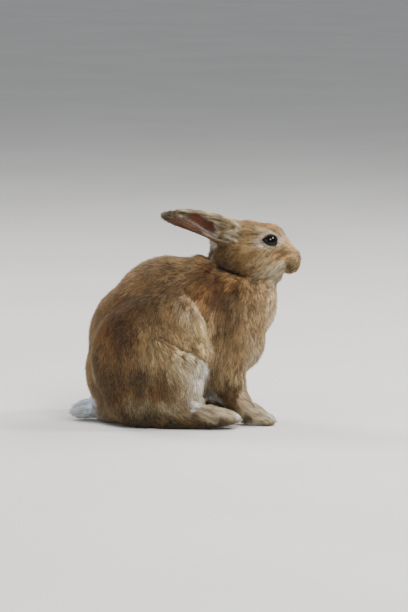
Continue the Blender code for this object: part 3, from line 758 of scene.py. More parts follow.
# painted light and shade on the head's forms, as factors on the colour beneath
HEAD_PAINTED_LIGHT_AND_SHADE: Marks = (
    Shade((0.043, 0.03, 0.211), (0.009, 0.03, 0.015), (0.62, 0.54, 0.4)),
    Shade((0.056, 0.034, 0.203), (0.015, 0.03, 0.015), (0.78, 0.7, 0.56)),
    Shade((0.056, 0.034, 0.19), (0.015, 0.03, 0.008), (0.58, 0.48, 0.36)),
    Shade((0.117, 0.012, 0.209), (0.011, 0.014, 0.014), (1.35, 1.28, 1.15), 0.8),
    Shade((0.0696, 0.034, 0.203), (0.011, 0.03, 0.011), (0.8, 0.76, 0.68)),
    Shade((0.0696, 0.034, 0.185), (0.017, 0.034, 0.0105), (0.72, 0.63, 0.52)),
    Shade((0.089, 0.024, 0.1905), (0.008, 0.03, 0.008), (0.66, 0.58, 0.46)),
    Shade((0.079, 0.03, 0.2035), (0.01, 0.03, 0.008), (0.74, 0.69, 0.62)),
    Shade((0.087, 0.024, 0.231), (0.006, 0.02, 0.006), (0.72, 0.71, 0.68)),
    Shade((0.09, 0.01, 0.24), (0.022, 0.03, 0.01), (0.86, 0.82, 0.76)),
    Shade((0.118, 0.008, 0.22), (0.008, 0.02, 0.01), (0.82, 0.78, 0.72)),
    Shade((0.079, 0.03, 0.22), (0.0055, 0.03, 0.008), (0.78, 0.76, 0.72)),
    Marking((0.05, 0.024, 0.239), (0.007, 0.02, 0.006), linear(222, 196, 150), 0.8),
    Shade((0.1085, 0.016, 0.2), (0.01, 0.016, 0.0115), (1.35, 1.38, 1.5)),
)
# pale nape fluff with a painted rim of back light, and painted shade in the fold under the jaw
NAPE_RIM_AND_JAW_SHADE: Marks = (
    Marking((0.0312, 0.012, 0.213), (0.0054, 0.026, 0.015), linear(222, 214, 198), 0.85, 0.3),
    Stroke(JAW_FOLD[1:3], 0.0044, linear(20, 13, 8), 0.95),
    Stroke(JAW_FOLD[2:4], 0.0018, linear(46, 32, 19), 0.7),
    Stroke(JAW_FOLD[3:], 0.0014, linear(60, 44, 28), 0.6),
)
# Laid one over the other in this order
MARKINGS = (
    BACK_MARKS + FLANK_MARKS + CHEST_MARKS + FOOT_MARKS + BODY_PAINTED_LIGHT_AND_SHADE + PAW_PAINTED_SHADE
    + NECK_MARKS + HEAD_MARKS + EAR_ROOT_MARKS + HEAD_PAINTED_LIGHT_AND_SHADE + NAPE_RIM_AND_JAW_SHADE
)


def marked(points: Array) -> Array:
    """Colour of the coat at each place, with its painted light and shade, before the lamps light it.

    Args:
        points: Places, one a row.

    Returns:
        Linear colours, one a row.
    """
    colour = np.tile(np.array(TAN), (len(points), 1))
    wander = np.stack([lattice_noise(points, 0.011, seed) - 0.5 for seed in (3, 4, 5)], axis=1)
    moved = points + wander * 0.010
    body = 1.0 - ease(0.030, 0.045, points[:, 0]) * ease(0.166, 0.178, points[:, 2])
    hanging = body * (1.0 - ease(0.160, 0.185, points[:, 2]))
    hanging = hanging * (0.25 + 0.75 * ease(0.030, 0.055, points[:, 2]))
    strands = lattice_noise(points * (1.0, 1.0, 0.22), 0.0032, 6) - 0.5
    moved[:, 2] += hanging * strands * 0.030
    moved[:, 0] += hanging * (lattice_noise(points * (1.0, 1.0, 0.30), 0.0042, 7) - 0.5) * 0.008
    for marking in MARKINGS:
        mask = marking.mask(moved)[:, None]
        colour = colour * (1.0 - mask) + marking.over(colour) * mask
    return colour


# ---------------------------------------------------------------- meshes


def new_object(name: str, mesh: bpy.types.Mesh) -> bpy.types.Object:
    """Put a mesh into the scene under a name.

    Args:
        name: Name to give it.
        mesh: Its mesh.

    Returns:
        The new object.
    """
    made = bpy.data.objects.new(name, mesh)
    bpy.context.scene.collection.objects.link(made)
    return made


def shade_smooth(mesh: bpy.types.Mesh) -> None:
    """Shade every face of a mesh smooth."""
    mesh.polygons.foreach_set("use_smooth", np.ones(len(mesh.polygons), dtype=bool))


def settled(bm: bmesh.types.BMesh, name: str) -> bpy.types.Mesh:
    """Turn a finished bmesh into a mesh and free it.

    Args:
        bm: Finished bmesh.
        name: Name to give it.

    Returns:
        The new mesh.
    """
    mesh = bpy.data.meshes.new(name)
    bm.to_mesh(mesh)
    bm.free()
    return mesh


def tree_of(places: Array) -> KDTree:
    """Sort places so that the nearest one is found fast.

    Args:
        places: Places to sort.

    Returns:
        The tree, with the row of each place as its index.
    """
    tree = KDTree(len(places))
    for index, place in enumerate(places.tolist()):
        tree.insert(place, index)
    tree.balance()
    return tree


def mesh_of(name: str, places: Array, faces: Array) -> bpy.types.Mesh:
    """Make a mesh from arrays.

    Args:
        name: Name of the mesh.
        places: Vertices, one a row.
        faces: Corners of each face, all faces of one size.

    Returns:
        The mesh, smooth-shaded.
    """
    mesh = bpy.data.meshes.new(name)
    count, sides = faces.shape
    mesh.vertices.add(len(places))
    mesh.vertices.foreach_set("co", places.astype(np.float32).ravel())
    mesh.loops.add(count * sides)
    mesh.loops.foreach_set("vertex_index", faces.astype(np.int32).ravel())
    mesh.polygons.add(count)
    mesh.polygons.foreach_set("loop_start", np.arange(0, count * sides, sides, dtype=np.int32))
    mesh.update(calc_edges=True)
    shade_smooth(mesh)
    return mesh


def add_value(mesh: bpy.types.Mesh, name: str, values: Array) -> None:
    """Store one number for each vertex."""
    mesh.attributes.new(name, "FLOAT", "POINT").data.foreach_set("value", values.astype(np.float32))


def add_colour(mesh: bpy.types.Mesh, name: str, colours: Array) -> None:
    """Store one colour for each vertex.

    Args:
        mesh: Mesh to work on.
        name: Name of the attribute.
        colours: Linear colours, one a row.
    """
    full = np.ones((len(colours), 4), dtype=np.float32)
    full[:, :3] = colours
    mesh.color_attributes.new(name, "FLOAT_COLOR", "POINT").data.foreach_set("color", full.ravel())


def places_of(mesh: bpy.types.Mesh) -> Array:
    """Vertices of a mesh as rows.

    Args:
        mesh: Mesh to work on.

    Returns:
        Places in metres.
    """
    places = np.empty(len(mesh.vertices) * 3, dtype=np.float32)
    mesh.vertices.foreach_get("co", places)
    return places.reshape(-1, 3).astype(float)


def triangles_of(mesh: bpy.types.Mesh) -> Array:
    """Triangles of a mesh as rows of vertex numbers.

    Args:
        mesh: Mesh to work on.

    Returns:
        Three vertex numbers a row.
    """
    mesh.calc_loop_triangles()
    corners = np.empty(len(mesh.loop_triangles) * 3, dtype=np.int32)
    mesh.loop_triangles.foreach_get("vertices", corners)
    return corners.reshape(-1, 3)


def normals_of(places: Array, triangles: Array) -> Array:
    """Smooth normals of the vertices.

    Args:
        places: Vertices, one a row.
        triangles: Corners of each triangle.

    Returns:
        Unit normals, one a row.
    """
    a, b, c = (places[triangles[:, corner]] for corner in range(3))
    across = np.cross(b - a, c - a)
    total = np.zeros_like(places)
    for corner in range(3):
        for axis in range(3):
            total[:, axis] += np.bincount(triangles[:, corner], across[:, axis], len(places))
    return unit(total)


class Smoother:
    """Averages values over the edges of a mesh."""

    def __init__(self, triangles: Array, count: int) -> None:
        """List every edge both ways.

        Args:
            triangles: Corners of each triangle.
            count: Number of vertices.
        """
        pairs = np.concatenate([triangles[:, [0, 1]], triangles[:, [1, 2]], triangles[:, [2, 0]]])
        self.first = np.concatenate([pairs[:, 0], pairs[:, 1]])
        self.second = np.concatenate([pairs[:, 1], pairs[:, 0]])
        self.count = count
        self.links = np.maximum(np.bincount(self.first, minlength=count), 1)

    def run(self, values: Array, steps: int, share: Optional[Array] = None) -> Array:
        """Smooth the values, each vertex by its share if one is given.

        Args:
            values: One value or one row for each vertex.
            steps: How often to average.
            share: How far each vertex moves towards its neighbours' mean.

        Returns:
            The smoothed values.
        """
        single = values.ndim == 1
        values = values[:, None] if single else values
        for _ in range(steps):
            mean = np.stack(
                [np.bincount(self.first, column[self.second], self.count) for column in values.T], axis=1
            ) / self.links[:, None]
            values = mean if share is None else values + (mean - values) * share[:, None]
        return values[:, 0] if single else values


# ---------------------------------------------------------------- materials


class Nodes:
    """Short-hand for building a node material."""

    def __init__(self, name: str, roughness: float) -> None:
        """Start a material with its shader.

        Args:
            name: Name of the material.
            roughness: Roughness of its shader.
        """
        self.material = bpy.data.materials.new(name)
        self.material.use_nodes = True
        self.tree = self.material.node_tree
        self.shader = self.tree.nodes["Principled BSDF"]
        self.shader.inputs["Roughness"].default_value = roughness

    def add(self, kind: str, **settings: object) -> bpy.types.Node:
        """Add a node and set its properties.

        Args:
            kind: Type of node.
            settings: Its properties.

        Returns:
            The new node.
        """
        node = self.tree.nodes.new(kind)
        for key, value in settings.items():
            setattr(node, key, value)
        return node

    def link(self, source: bpy.types.NodeSocket, target: bpy.types.NodeSocket) -> None:
        """Join two sockets."""
        self.tree.links.new(source, target)

    def attribute(self, name: str) -> bpy.types.Node:
        """Read a stored attribute."""
        return self.add("ShaderNodeAttribute", attribute_name=name)

    def maths(self, operation: str, *inputs: Input) -> bpy.types.NodeSocket:
        """Combine numbers or sockets.

        Args:
            operation: What to do with them.
            inputs: Numbers or sockets.

        Returns:
            Socket of the result.
        """
        node = self.add("ShaderNodeMath", operation=operation)
        for slot, value in zip(node.inputs, inputs):
            if isinstance(value, bpy.types.NodeSocket):
                self.link(value, slot)
            else:
                slot.default_value = value
        return node.outputs[0]

    def ranged(
        self, value: bpy.types.NodeSocket, low: float, high: float, start: float, end: float
    ) -> bpy.types.NodeSocket:
        """Map a number from one range smoothly onto another.

        Args:
            value: Socket of the number.
            low: Start of its range, up to high.
            start: Start of the new range, up to end.

        Returns:
            Socket of the result.
        """
        node = self.add("ShaderNodeMapRange", interpolation_type="SMOOTHSTEP")
        self.link(value, node.inputs["Value"])
        for key, number in (("From Min", low), ("From Max", high), ("To Min", start), ("To Max", end)):
            node.inputs[key].default_value = number
        return node.outputs["Result"]

    def mix(self, share: Input, first: Input, second: Input) -> bpy.types.NodeSocket:
        """Mix two colours by a share.

        Args:
            share: Share of the second colour.
            first: First colour, and likewise the second.

        Returns:
            Socket of the colour.
        """
        node = self.add("ShaderNodeMix", data_type="RGBA", blend_type="MIX")
        for index, value in ((0, share), (6, first), (7, second)):
            if isinstance(value, bpy.types.NodeSocket):
                self.link(value, node.inputs[index])
            else:
                node.inputs[index].default_value = value if index == 0 else (*value, 1.0)
        return node.outputs[2]

    def noise(self, scale: float, detail: float = 2.0, roughness: float = 0.5) -> bpy.types.NodeSocket:
        """Noise in the object's own coordinates.

        Args:
            scale: Blotches a metre.
            detail: Number of finer layers.
            roughness: Strength of those layers.

        Returns:
            Socket of the noise.
        """
        place = self.add("ShaderNodeTexCoord")
        node = self.add("ShaderNodeTexNoise")
        self.link(place.outputs["Object"], node.inputs["Vector"])
        node.inputs["Scale"].default_value = scale
        node.inputs["Detail"].default_value = detail
        node.inputs["Roughness"].default_value = roughness
        return node.outputs["Fac"]

    def bump(self, height: bpy.types.NodeSocket, strength: float, distance: float) -> None:
        """Bump the surface by a height.

        Args:
            height: Socket of the height.
            strength: Share of the bump.
            distance: Its depth in metres.
        """
        node = self.add("ShaderNodeBump")
        node.inputs["Strength"].default_value = strength
        node.inputs["Distance"].default_value = distance
        self.link(height, node.inputs["Height"])
        self.link(node.outputs["Normal"], self.shader.inputs["Normal"])

    def colour(self, socket: bpy.types.NodeSocket) -> None:
        """Set the base colour."""
        self.link(socket, self.shader.inputs["Base Color"])


@dataclass(frozen=True)
class Finishes:
    """The rabbit's materials, made once."""

    coat: bpy.types.Material
    skin: bpy.types.Material
    eye: bpy.types.Material
    claw: bpy.types.Material
    whisker: bpy.types.Material
    floor: bpy.types.Material

    @classmethod
    def make(cls) -> "Finishes":
        """Build every material.

        Returns:
            The set of materials.
        """
        return cls(
            cls._coat(), cls._skin(), cls._eye(), cls._claw(), cls._whisker(), cls._floor()
        )

    @staticmethod
    def _coat() -> bpy.types.Material:
        """Banded hair: dark root, which is the hair's own base and also painted shade deep in the coat,
        bright middle, and dark tips on some tufts.

        Returns:
            The material.
        """
        nodes = Nodes("coat", 0.72)
        nodes.shader.inputs["Specular IOR Level"].default_value = 0.22
        nodes.shader.inputs["Sheen Weight"].default_value = 0.28
        nodes.shader.inputs["Sheen Roughness"].default_value = 0.40
        nodes.shader.inputs["Sheen Tint"].default_value = (0.86, 0.74, 0.54, 1.0)
        colour = nodes.attribute("coat_colour").outputs["Color"]
        along = nodes.attribute("along").outputs["Fac"]
        tone = nodes.attribute("tone").outputs["Fac"]
        tick = nodes.attribute("tick").outputs["Fac"]
        grain = nodes.noise(700.0, 2.0)
        lit = nodes.ranged(tone, 0.0, 1.0, 0.34, 1.24)
        level = nodes.maths("ADD", lit, nodes.maths("MULTIPLY", grain, 0.12))
        scaled = nodes.add("ShaderNodeVectorMath", operation="SCALE")
        nodes.link(colour, scaled.inputs[0])
        nodes.link(level, scaled.inputs["Scale"])
        # dark towards the root: the hair's own dark base, and painted shade deep in the coat
        root = nodes.ranged(along, 0.0, 0.42, 0.60, 0.0)
        banded = nodes.mix(root, scaled.outputs[0], linear(72, 52, 36))
        # paler towards the tips: the hair's own straw tips, and a painted highlight on them
        straw = nodes.mix(0.30, scaled.outputs[0], linear(224, 200, 154))
        pale_tipped = nodes.mix(nodes.ranged(along, 0.60, 1.0, 0.0, 0.40), banded, straw)
        tipped = nodes.maths("MULTIPLY", nodes.ranged(along, 0.45, 0.95, 0.0, 1.0), tick)
        nodes.colour(nodes.mix(tipped, pale_tipped, linear(48, 32, 18)))
        return nodes.material

    @staticmethod
    def _skin() -> bpy.types.Material:
        """Skin under the coat, bare and moist only at nose, lids and inner ear.

        Returns:
            The material.
        """
        nodes = Nodes("skin", 0.62)
        nodes.shader.inputs["Specular IOR Level"].default_value = 0.18
        nodes.shader.inputs["Subsurface Weight"].default_value = 0.05
        nodes.shader.inputs["Subsurface Radius"].default_value = (0.004, 0.002, 0.001)
        nodes.shader.inputs["Subsurface Scale"].default_value = 0.5
        colour = nodes.attribute("coat_colour").outputs["Color"]
        fine = nodes.noise(900.0, 3.0, 0.6)
        shade = nodes.mix(nodes.ranged(fine, 0.3, 0.7, 0.0, 0.45), colour, linear(84, 60, 46))
        nodes.colour(shade)
        nodes.bump(nodes.noise(1500.0, 3.0, 0.6), 0.35, 0.0006)
        return nodes.material

    @staticmethod
    def _eye() -> bpy.types.Material:
        """Dark brown iris round a wide black pupil, under a wet cornea.

        Returns:
            The material.
        """
        nodes = Nodes("eye", 0.35)
        nodes.shader.inputs["Specular IOR Level"].default_value = 0.0
        nodes.shader.inputs["Coat Weight"].default_value = 1.0
        nodes.shader.inputs["Coat Roughness"].default_value = 0.03
        nodes.shader.inputs["Coat IOR"].default_value = 1.29
        away = nodes.attribute("away").outputs["Fac"]
        streak = nodes.noise(1800.0, 3.0, 0.6)
        iris = nodes.mix(nodes.ranged(streak, 0.3, 0.7, 0.0, 1.0), linear(20, 10, 6), linear(11, 6, 4))
        ringed = nodes.mix(nodes.ranged(away, 0.50, 0.56, 0.0, 1.0), linear(3, 3, 4), iris)
        nodes.colour(nodes.mix(nodes.ranged(away, 0.80, 0.90, 0.0, 1.0), ringed, linear(22, 16, 13)))
        return nodes.material

    @staticmethod
    def _claw() -> bpy.types.Material:
        """Horn, darker at the root and paler at the tip.

        Returns:
            The material.
        """
        nodes = Nodes("claw", 0.42)
        along = nodes.attribute("along").outputs["Fac"]
        grain = nodes.noise(1600.0, 2.0)
        horn = nodes.mix(nodes.ranged(along, 0.0, 1.0, 0.0, 1.0), linear(96, 76, 60), linear(156, 134, 112))
        nodes.colour(nodes.mix(nodes.ranged(grain, 0.4, 0.7, 0.0, 0.35), horn, linear(70, 54, 42)))
        nodes.bump(grain, 0.2, 0.0003)
        return nodes.material

    @staticmethod
    def _whisker() -> bpy.types.Material:
        """Stiff pale hair, darker at the root.

        Returns:
            The material.
        """
        nodes = Nodes("whisker", 0.40)
        along = nodes.attribute("along").outputs["Fac"]
        paler = nodes.ranged(along, 0.0, 0.5, 0.0, 1.0)
        nodes.colour(nodes.mix(paler, linear(104, 84, 62), linear(176, 158, 132)))
        return nodes.material

    @staticmethod
    def _floor() -> bpy.types.Material:
        """Plain pale studio floor.

        Returns:
            The material.
        """
        nodes = Nodes("studio_floor", 0.85)
        grain = nodes.noise(3.0, 2.0)
        cloud = nodes.ranged(grain, 0.3, 0.7, 0.0, 1.0)
        nodes.colour(nodes.mix(cloud, linear(214, 211, 205), linear(219, 216, 211)))
        return nodes.material


# ---------------------------------------------------------------- skin


@dataclass
class Skin:
    """The one skin under the coat."""

    grain: float = 0.0017
    join: float = 0.00038
    body_smoothing: int = 9
    growth_smoothing: int = 30
    nape_height: float = 0.0070
    nape_reach: float = 0.0085
    lip_reach: Tuple[float, float] = (0.0170, 0.0080)
    lid_reach: Tuple[float, float] = (0.0190, 0.0120)
    floor_gap: float = 0.0006
    obj: Optional[bpy.types.Object] = None
    places: Array = field(default_factory=lambda: np.zeros((0, 3)))
    normals: Array = field(default_factory=lambda: np.zeros((0, 3)))
    triangles: Array = field(default_factory=lambda: np.zeros((0, 3), dtype=int))
    labels: Array = field(default_factory=lambda: np.zeros(0, dtype=int))
    fields: Dict[str, Array] = field(default_factory=dict)

    def build(self, finishes: Finishes) -> bpy.types.Object:
        """Melt the flesh into one skin, sink it, carve the face and colour it.

        Args:
            finishes: The rabbit's materials.

        Returns:
            The skin's object.
        """
        mesh = self._melted()
        mesh = self._refined(mesh)
        self.places, self.triangles = places_of(mesh), triangles_of(mesh)
        smoother = Smoother(self.triangles, len(self.places))
        self._label()
        in_ear = np.isin(self.labels, EAR_LABELS).astype(float)
        soft = 0.5 * (1.0 - 0.75 * smoother.run(in_ear, 4))
        self.places = smoother.run(self.places, self.body_smoothing, soft)
        self._grow(smoother)
        self.normals = normals_of(self.places, self.triangles)
        self.places = self.places - self.normals * self.fields["depth"][:, None]
        self.places = smoother.run(self.places, 2, soft)
        self._crease_body()
        self._carve_face()
        self._carve_eyes()
        self.places[:, 2] = np.maximum(self.places[:, 2], self.floor_gap)
        self.normals = normals_of(self.places, self.triangles)
        self._colour()
        mesh.vertices.foreach_set("co", self.places.astype(np.float32).ravel())
        mesh.update()
        shade_smooth(mesh)
        add_colour(mesh, "coat_colour", self.fields["colour"])
        self.obj = new_object("skin", mesh)
        mesh.materials.append(finishes.skin)
        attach(self.obj, "root")
        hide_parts(*FLESH)
        LOG.info("skin: %d triangles", len(self.triangles))
        return self.obj

    def _melted(self) -> bpy.types.Mesh:
        """Join the nodes of flesh, slightly swollen, and remesh them as one.

        Returns:
            The rough skin.
        """
        places, faces, offset = [], [], 0
        for name in FLESH + ("eye_left", "eye_right"):
            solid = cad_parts[name].data
            node_places, node_triangles = places_of(solid), triangles_of(solid)
            swollen = node_places + normals_of(node_places, node_triangles) * self.join
            places.append(swollen)
            faces.append(node_triangles + offset)
            offset += len(node_places)
        rough = new_object("rough_skin", mesh_of("rough_skin", np.concatenate(places), np.concatenate(faces)))
        remesh = rough.modifiers.new("melt", "REMESH")
        remesh.mode = "VOXEL"
        remesh.voxel_size = self.grain
        bpy.context.view_layer.update()
        graph = bpy.context.evaluated_depsgraph_get()
        mesh = bpy.data.meshes.new_from_object(rough.evaluated_get(graph))
        bpy.data.objects.remove(rough)
        mesh.name = "skin"
        return mesh

    @staticmethod
    def _refined(mesh: bpy.types.Mesh) -> bpy.types.Mesh:
        """Split the faces finer round the eyes, the nose and the mouth.

        Args:
            mesh: The rough skin.

        Returns:
            The same mesh, finer there.
        """
        bm = bmesh.new()
        bm.from_mesh(mesh)
        rings = ((0.0150, 0.0190), (0.0125, 0.0110))
        for eye_reach, nose_reach in rings:
            spots = [(Vector(eye.centre), eye_reach) for eye in EYES.values()]
            spots.append((Vector(NOSE_TIP) + Vector((-0.004, 0.0, -0.007)), nose_reach))
            near = [
                edge for edge in bm.edges
                if any((edge.verts[0].co - spot).length < reach for spot, reach in spots)
            ]
            bmesh.ops.subdivide_edges(bm, edges=near, cuts=1, use_grid_fill=True, smooth=0.0)
        bm.to_mesh(mesh)
        bm.free()
        return mesh

    def _label(self) -> None:
        """Find the node of flesh nearest to each vertex."""
        places, faces, owners, offset = [], [], [], 0
        for index, name in enumerate(FLESH):
            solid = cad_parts[name].data
            node_places, node_triangles = places_of(solid), triangles_of(solid)
            places.append(node_places)
            faces.append(node_triangles + offset)
            owners.append(np.full(len(node_triangles), index))
            offset += len(node_places)
        owner = np.concatenate(owners)
        tree = BVHTree.FromPolygons(np.concatenate(places).tolist(), np.concatenate(faces).tolist())
        found = [tree.find_nearest(place)[2] for place in self.places.tolist()]
        self.labels = owner[np.array(found)]

    def _grow(self, smoother: Smoother) -> None:
        """Spread the coat's sizes over the skin.

        Args:
            smoother: Averages over the skin's edges.
        """
        table = np.array([GROWTH[part_of(name)].row() for name in FLESH])
        spread = table[self.labels]
        is_head = self.labels == FLESH.index("head")
        towards = ease(0.076, 0.112, self.places[:, 0]) * is_head
        lips = ease(*self.lip_reach, np.linalg.norm(self.places - NOSE_TIP, axis=1)) * is_head
        lids = np.zeros(len(self.places))
        for eye in EYES.values():
            lids = np.maximum(lids, ease(*self.lid_reach, np.linalg.norm(self.places - eye.centre, axis=1)))
        for share, growth in ((towards, FACE), (lips, LIPS), (lids * is_head, LIDS)):
            spread = spread + (np.array(growth.row()) - spread) * share[:, None]
        spread = smoother.run(spread, self.growth_smoothing)
        for line, reach, least in ((JAW_FOLD, 0.0065, 0.008), (KNEE_FOLD, 0.0080, 0.030)):
            crease = np.exp(-((fold_distance(self.places, line) / reach) ** 2))
            crease *= ease(least, least + 0.012, np.abs(self.places[:, 1]))
            spread *= 1.0 - np.outer(crease, (0.45, 0.52, 0.15, 0.0))
        folded = self.places.copy()
        folded[:, 1] = np.abs(folded[:, 1])
        for (x, y, z), reach, factor in FLUFF:
            gap = np.linalg.norm(folded - (x, y, z), axis=1)
            more = (factor - 1.0) * np.exp(-((gap / reach) ** 2))
            spread *= 1.0 + np.outer(more, (1.0, 0.6, 0.0, 0.0))
        in_ear = np.isin(self.labels, EAR_LABELS)
        deep_in_ear = smoother.run(in_ear.astype(float), 5)[:, None]
        spread = spread * (1.0 - deep_in_ear) + np.array(GROWTH["ear"].row()) * deep_in_ear
        for column, name in enumerate(GROWTH_FIELDS):
            self.fields[name] = spread[:, column]
        self.fields["ear"] = deep_in_ear[:, 0]

    def _crease_body(self) -> None:
        """Deepen the creases of jaw, knee and nape, and raise the forms beside them."""
        self.normals = normals_of(self.places, self.triangles)
        for line, reach, depth, least in FURROWS:
            outside = ease(least, least + 0.014, np.abs(self.places[:, 1]))
            pressed = depth * outside * np.exp(-((fold_distance(self.places, line) / reach) ** 2))
            self.places = self.places - self.normals * pressed[:, None]
        behind = np.exp(-((fold_distance(self.places, NAPE_RISE) / self.nape_reach) ** 2))
        behind *= np.clip(-self.normals[:, 0], 0.0, 1.0) * ~np.isin(self.labels, EAR_LABELS)
        self.places = self.places - np.array((self.nape_height, 0.0, 0.0)) * behind[:, None]

    def _carve_face(self) -> None:
        """Press nostrils, the cleft, the mouth and the folds of the muzzle."""
        self.normals = normals_of(self.places, self.triangles)
        x, z = NOSE_TIP[0], NOSE_TIP[2]
        folded = self.places * np.array((1.0, 0.0, 1.0))
        folded[:, 1] = np.abs(self.places[:, 1])
        # nostril, cleft, mouth, fold behind the muzzle, pad of the whiskers, tip of the nose
        strokes = (
            (((x + 0.003, 0.0022, z + 0.0015), (x - 0.001, 0.0056, z + 0.0040)), 0.0012, -0.0021),
            (((x + 0.004, 0.0, z - 0.001), (x + 0.002, 0.0, z - 0.012)), 0.0009, -0.0016),
            (((x + 0.002, 0.0, z - 0.012), (x - 0.008, 0.0085, z - 0.0165), (x - 0.016, 0.0135, z - 0.0165)),
             0.0011, -0.0020),
            (((x - 0.015, 0.0150, z - 0.002), (x - 0.017, 0.0155, z - 0.012)), 0.0028, -0.0012),
            (((x - 0.004, 0.0085, z - 0.005), (x - 0.010, 0.0115, z - 0.010)), 0.0060, 0.0009),
            (((x + 0.001, 0.0, z + 0.005), (x + 0.002, 0.0, z + 0.001)), 0.0030, 0.0007),
        )
        slit = np.zeros(len(self.places))
        for line, reach, height in strokes:
            fold = np.exp(-((line_distance(folded, line) / reach) ** 2))
            self.places = self.places + self.normals * (height * fold)[:, None]
            if height < -0.0015:
                slit = np.maximum(slit, fold)
        self.fields["slit"] = slit

    def _carve_eyes(self) -> None:
        """Wrap the lids round the eyes."""
        opening = np.full(len(self.places), 9.0)
        for eye in EYES.values():
            oval = eye.oval(self.places)
            opening = np.minimum(opening, oval)
            away = self.places - eye.centre
            reach = np.linalg.norm(away, axis=1)
            way = away / np.maximum(reach, 1e-6)[:, None]
            rim = eye.radius + 0.0003 + 0.0010 * ease(0.97, 1.16, oval)
            inner = np.where(oval < 0.97, eye.radius - 0.0008, rim)
            blend = ease(1.05, 1.60, oval)
            lid = np.maximum(inner, reach * blend + inner * (1.0 - blend))
            held = 1.0 - ease(1.45, 1.95, oval)
            target = np.where(oval < 1.0, inner, lid)
            near = (oval < 1.95) & (reach < 0.0175)
            moved = eye.centre + way * (target * held + reach * (1.0 - held))[:, None]
            self.places = np.where(near[:, None], moved, self.places)
        self.fields["opening"] = opening

    def _ear_colour(self, spine: EarSpine, ear: str, own: Array) -> Tuple[Array, Array, Array]:
        """Colours of one ear, with how far each place is inside the cup and how bare it is.

        Args:
            spine: The ear's line.
            ear: Name of the ear's node.
            own: Which vertices are the ear's.

        Returns:
            The colours, how far each place is inside the cup, and how bare it is.
        """
        places, normals = self.places[own], self.normals[own]
        share = spine.nearest(places)
        turn = spine.round(places, share) + 0.16 * (lattice_noise(places, 0.006, 41) - 0.5)
        inside = ease(-0.0012, 0.0020, ((spine.at(share) - places) * normals).sum(1))

        def mix(base: Array, colour: Point, mask: Array) -> Array:
            """Lay a colour over another by a mask."""
            return base * (1.0 - mask[:, None]) + np.array(colour) * mask[:, None]

        back = np.tile(np.array(linear(158, 134, 98)), (len(places), 1))
        back = mix(back, linear(92, 54, 34), ease(0.05, -0.30, turn) * ease(0.15, 0.35, share) * 0.90)
        back = mix(back, linear(80, 57, 34), ease(-0.05, -0.40, turn) * ease(0.50, 0.35, share) * 0.90)
        back = mix(back, linear(206, 186, 148), ease(0.45, 0.75, turn) * 0.70)
        back = mix(back, linear(104, 86, 66), ease(0.55, 0.95, share) * 0.60)
        cup = np.tile(np.array(linear(146, 134, 116)), (len(places), 1))
        hairs = lattice_noise(np.stack([share * 5.0, turn * 9.0, turn * 0.0], axis=1), 1.0, 43)
        # paler at the cup's upper base: tan fur, lightened as painted light where the cup's roof shades it
        cup = mix(cup, linear(214, 194, 158), ease(0.62, 0.40, share) * ease(0.0, 0.4, turn) * 0.85)
        cup = mix(cup, linear(76, 62, 48), ease(0.45, 0.75, hairs) * ease(0.66, 0.30, share) * 0.60)
        cup = mix(cup, linear(192, 178, 154), ease(0.50, 0.25, hairs) * ease(0.70, 0.30, share) * 0.35)
        cup = mix(cup, linear(112, 100, 84), ease(0.12, -0.10, turn) * ease(0.58, 0.42, share) * 0.6)
        cup = mix(cup, linear(84, 74, 62), ease(0.68, 0.80, share) * 0.7)
        cup = mix(cup, linear(204, 180, 138), ease(0.30, 0.16, share) * ease(0.10, 0.40, turn) * 0.8)
        low = np.interp(share, (0.30, 0.46, 0.62, 0.75), (-0.06, -0.17, -0.14, 0.04))
        high = np.interp(share, (0.31, 0.40, 0.50, 0.62, 0.75), (0.02, 0.28, 0.40, 0.62, 0.72))
        skin = ease(low - 0.08, low + 0.05, turn) * ease(high + 0.07, high - 0.07, turn)
        skin *= ease(0.25, 0.31, share) * ease(0.82, 0.72, share)
        cup = mix(cup, linear(112, 92, 74), ease(0.08, -0.14, turn) * ease(0.50, 0.62, share) * 0.75)
        cup = mix(cup, linear(80, 48, 31), ease(-0.22, -0.40, turn) * ease(0.42, 0.54, share) * 0.95)
        cup = mix(cup, linear(62, 24, 11), skin)
        cup = mix(cup, linear(92, 46, 24), skin * ease(0.44, 0.66, share + 0.10 * turn) * 0.75)
        cup = mix(cup, linear(198, 178, 142), ease(0.70, 0.86, turn) * ease(0.20, 0.40, share))
        fringe = ease(0.28, 0.42, turn) * ease(0.86, 0.74, turn) * ease(0.74, 0.84, share)
        cup = mix(cup, linear(50, 34, 24), fringe * 0.9)
        cup = mix(cup, linear(78, 62, 46), ease(0.92, 0.98, share) * 0.8)
        spot = np.exp(-(((share - 0.885) / 0.022) ** 2) - (((turn + 0.12) / 0.13) ** 2))
        cup = mix(cup, linear(232, 226, 214), spot * 0.9)
        if ear.endswith("left"):
            back = mix(back, linear(104, 64, 41), ease(0.20, 0.40, share) * ease(0.75, 0.45, turn) * 0.9)
            back = mix(back, linear(88, 76, 62), ease(0.80, 0.90, share))
            back = mix(back, linear(146, 136, 120), ease(0.955, 0.985, share) * 0.8)
        return mix(back, (0.0, 0.0, 0.0), inside) + cup * inside[:, None], inside, inside * skin

    def _colour(self) -> None:
        """Give the skin the coat's markings and its own bare places."""
        colour = marked(self.places)
        inner = np.zeros(len(self.places))
        naked = np.zeros(len(self.places))
        for ear in EARS:
            own = self.labels == FLESH.index(ear)
            colour[own], inner[own], naked[own] = self._ear_colour(EAR_SPINES[ear], ear, own)
        self.fields["naked_ear"] = naked
        self.fields["inner_ear"] = inner
        lid = 1.0 - ease(1.10, 1.22, self.fields["opening"])
        colour = colour * (1.0 - lid[:, None]) + np.array(linear(12, 8, 6)) * lid[:, None]
        nose = 1.0 - ease(0.0035, 0.0065, np.linalg.norm((self.places - NOSE_TIP) * (1.0, 0.8, 0.9), axis=1))
        colour = colour * (1.0 - nose[:, None]) + np.array(linear(152, 122, 100)) * nose[:, None]
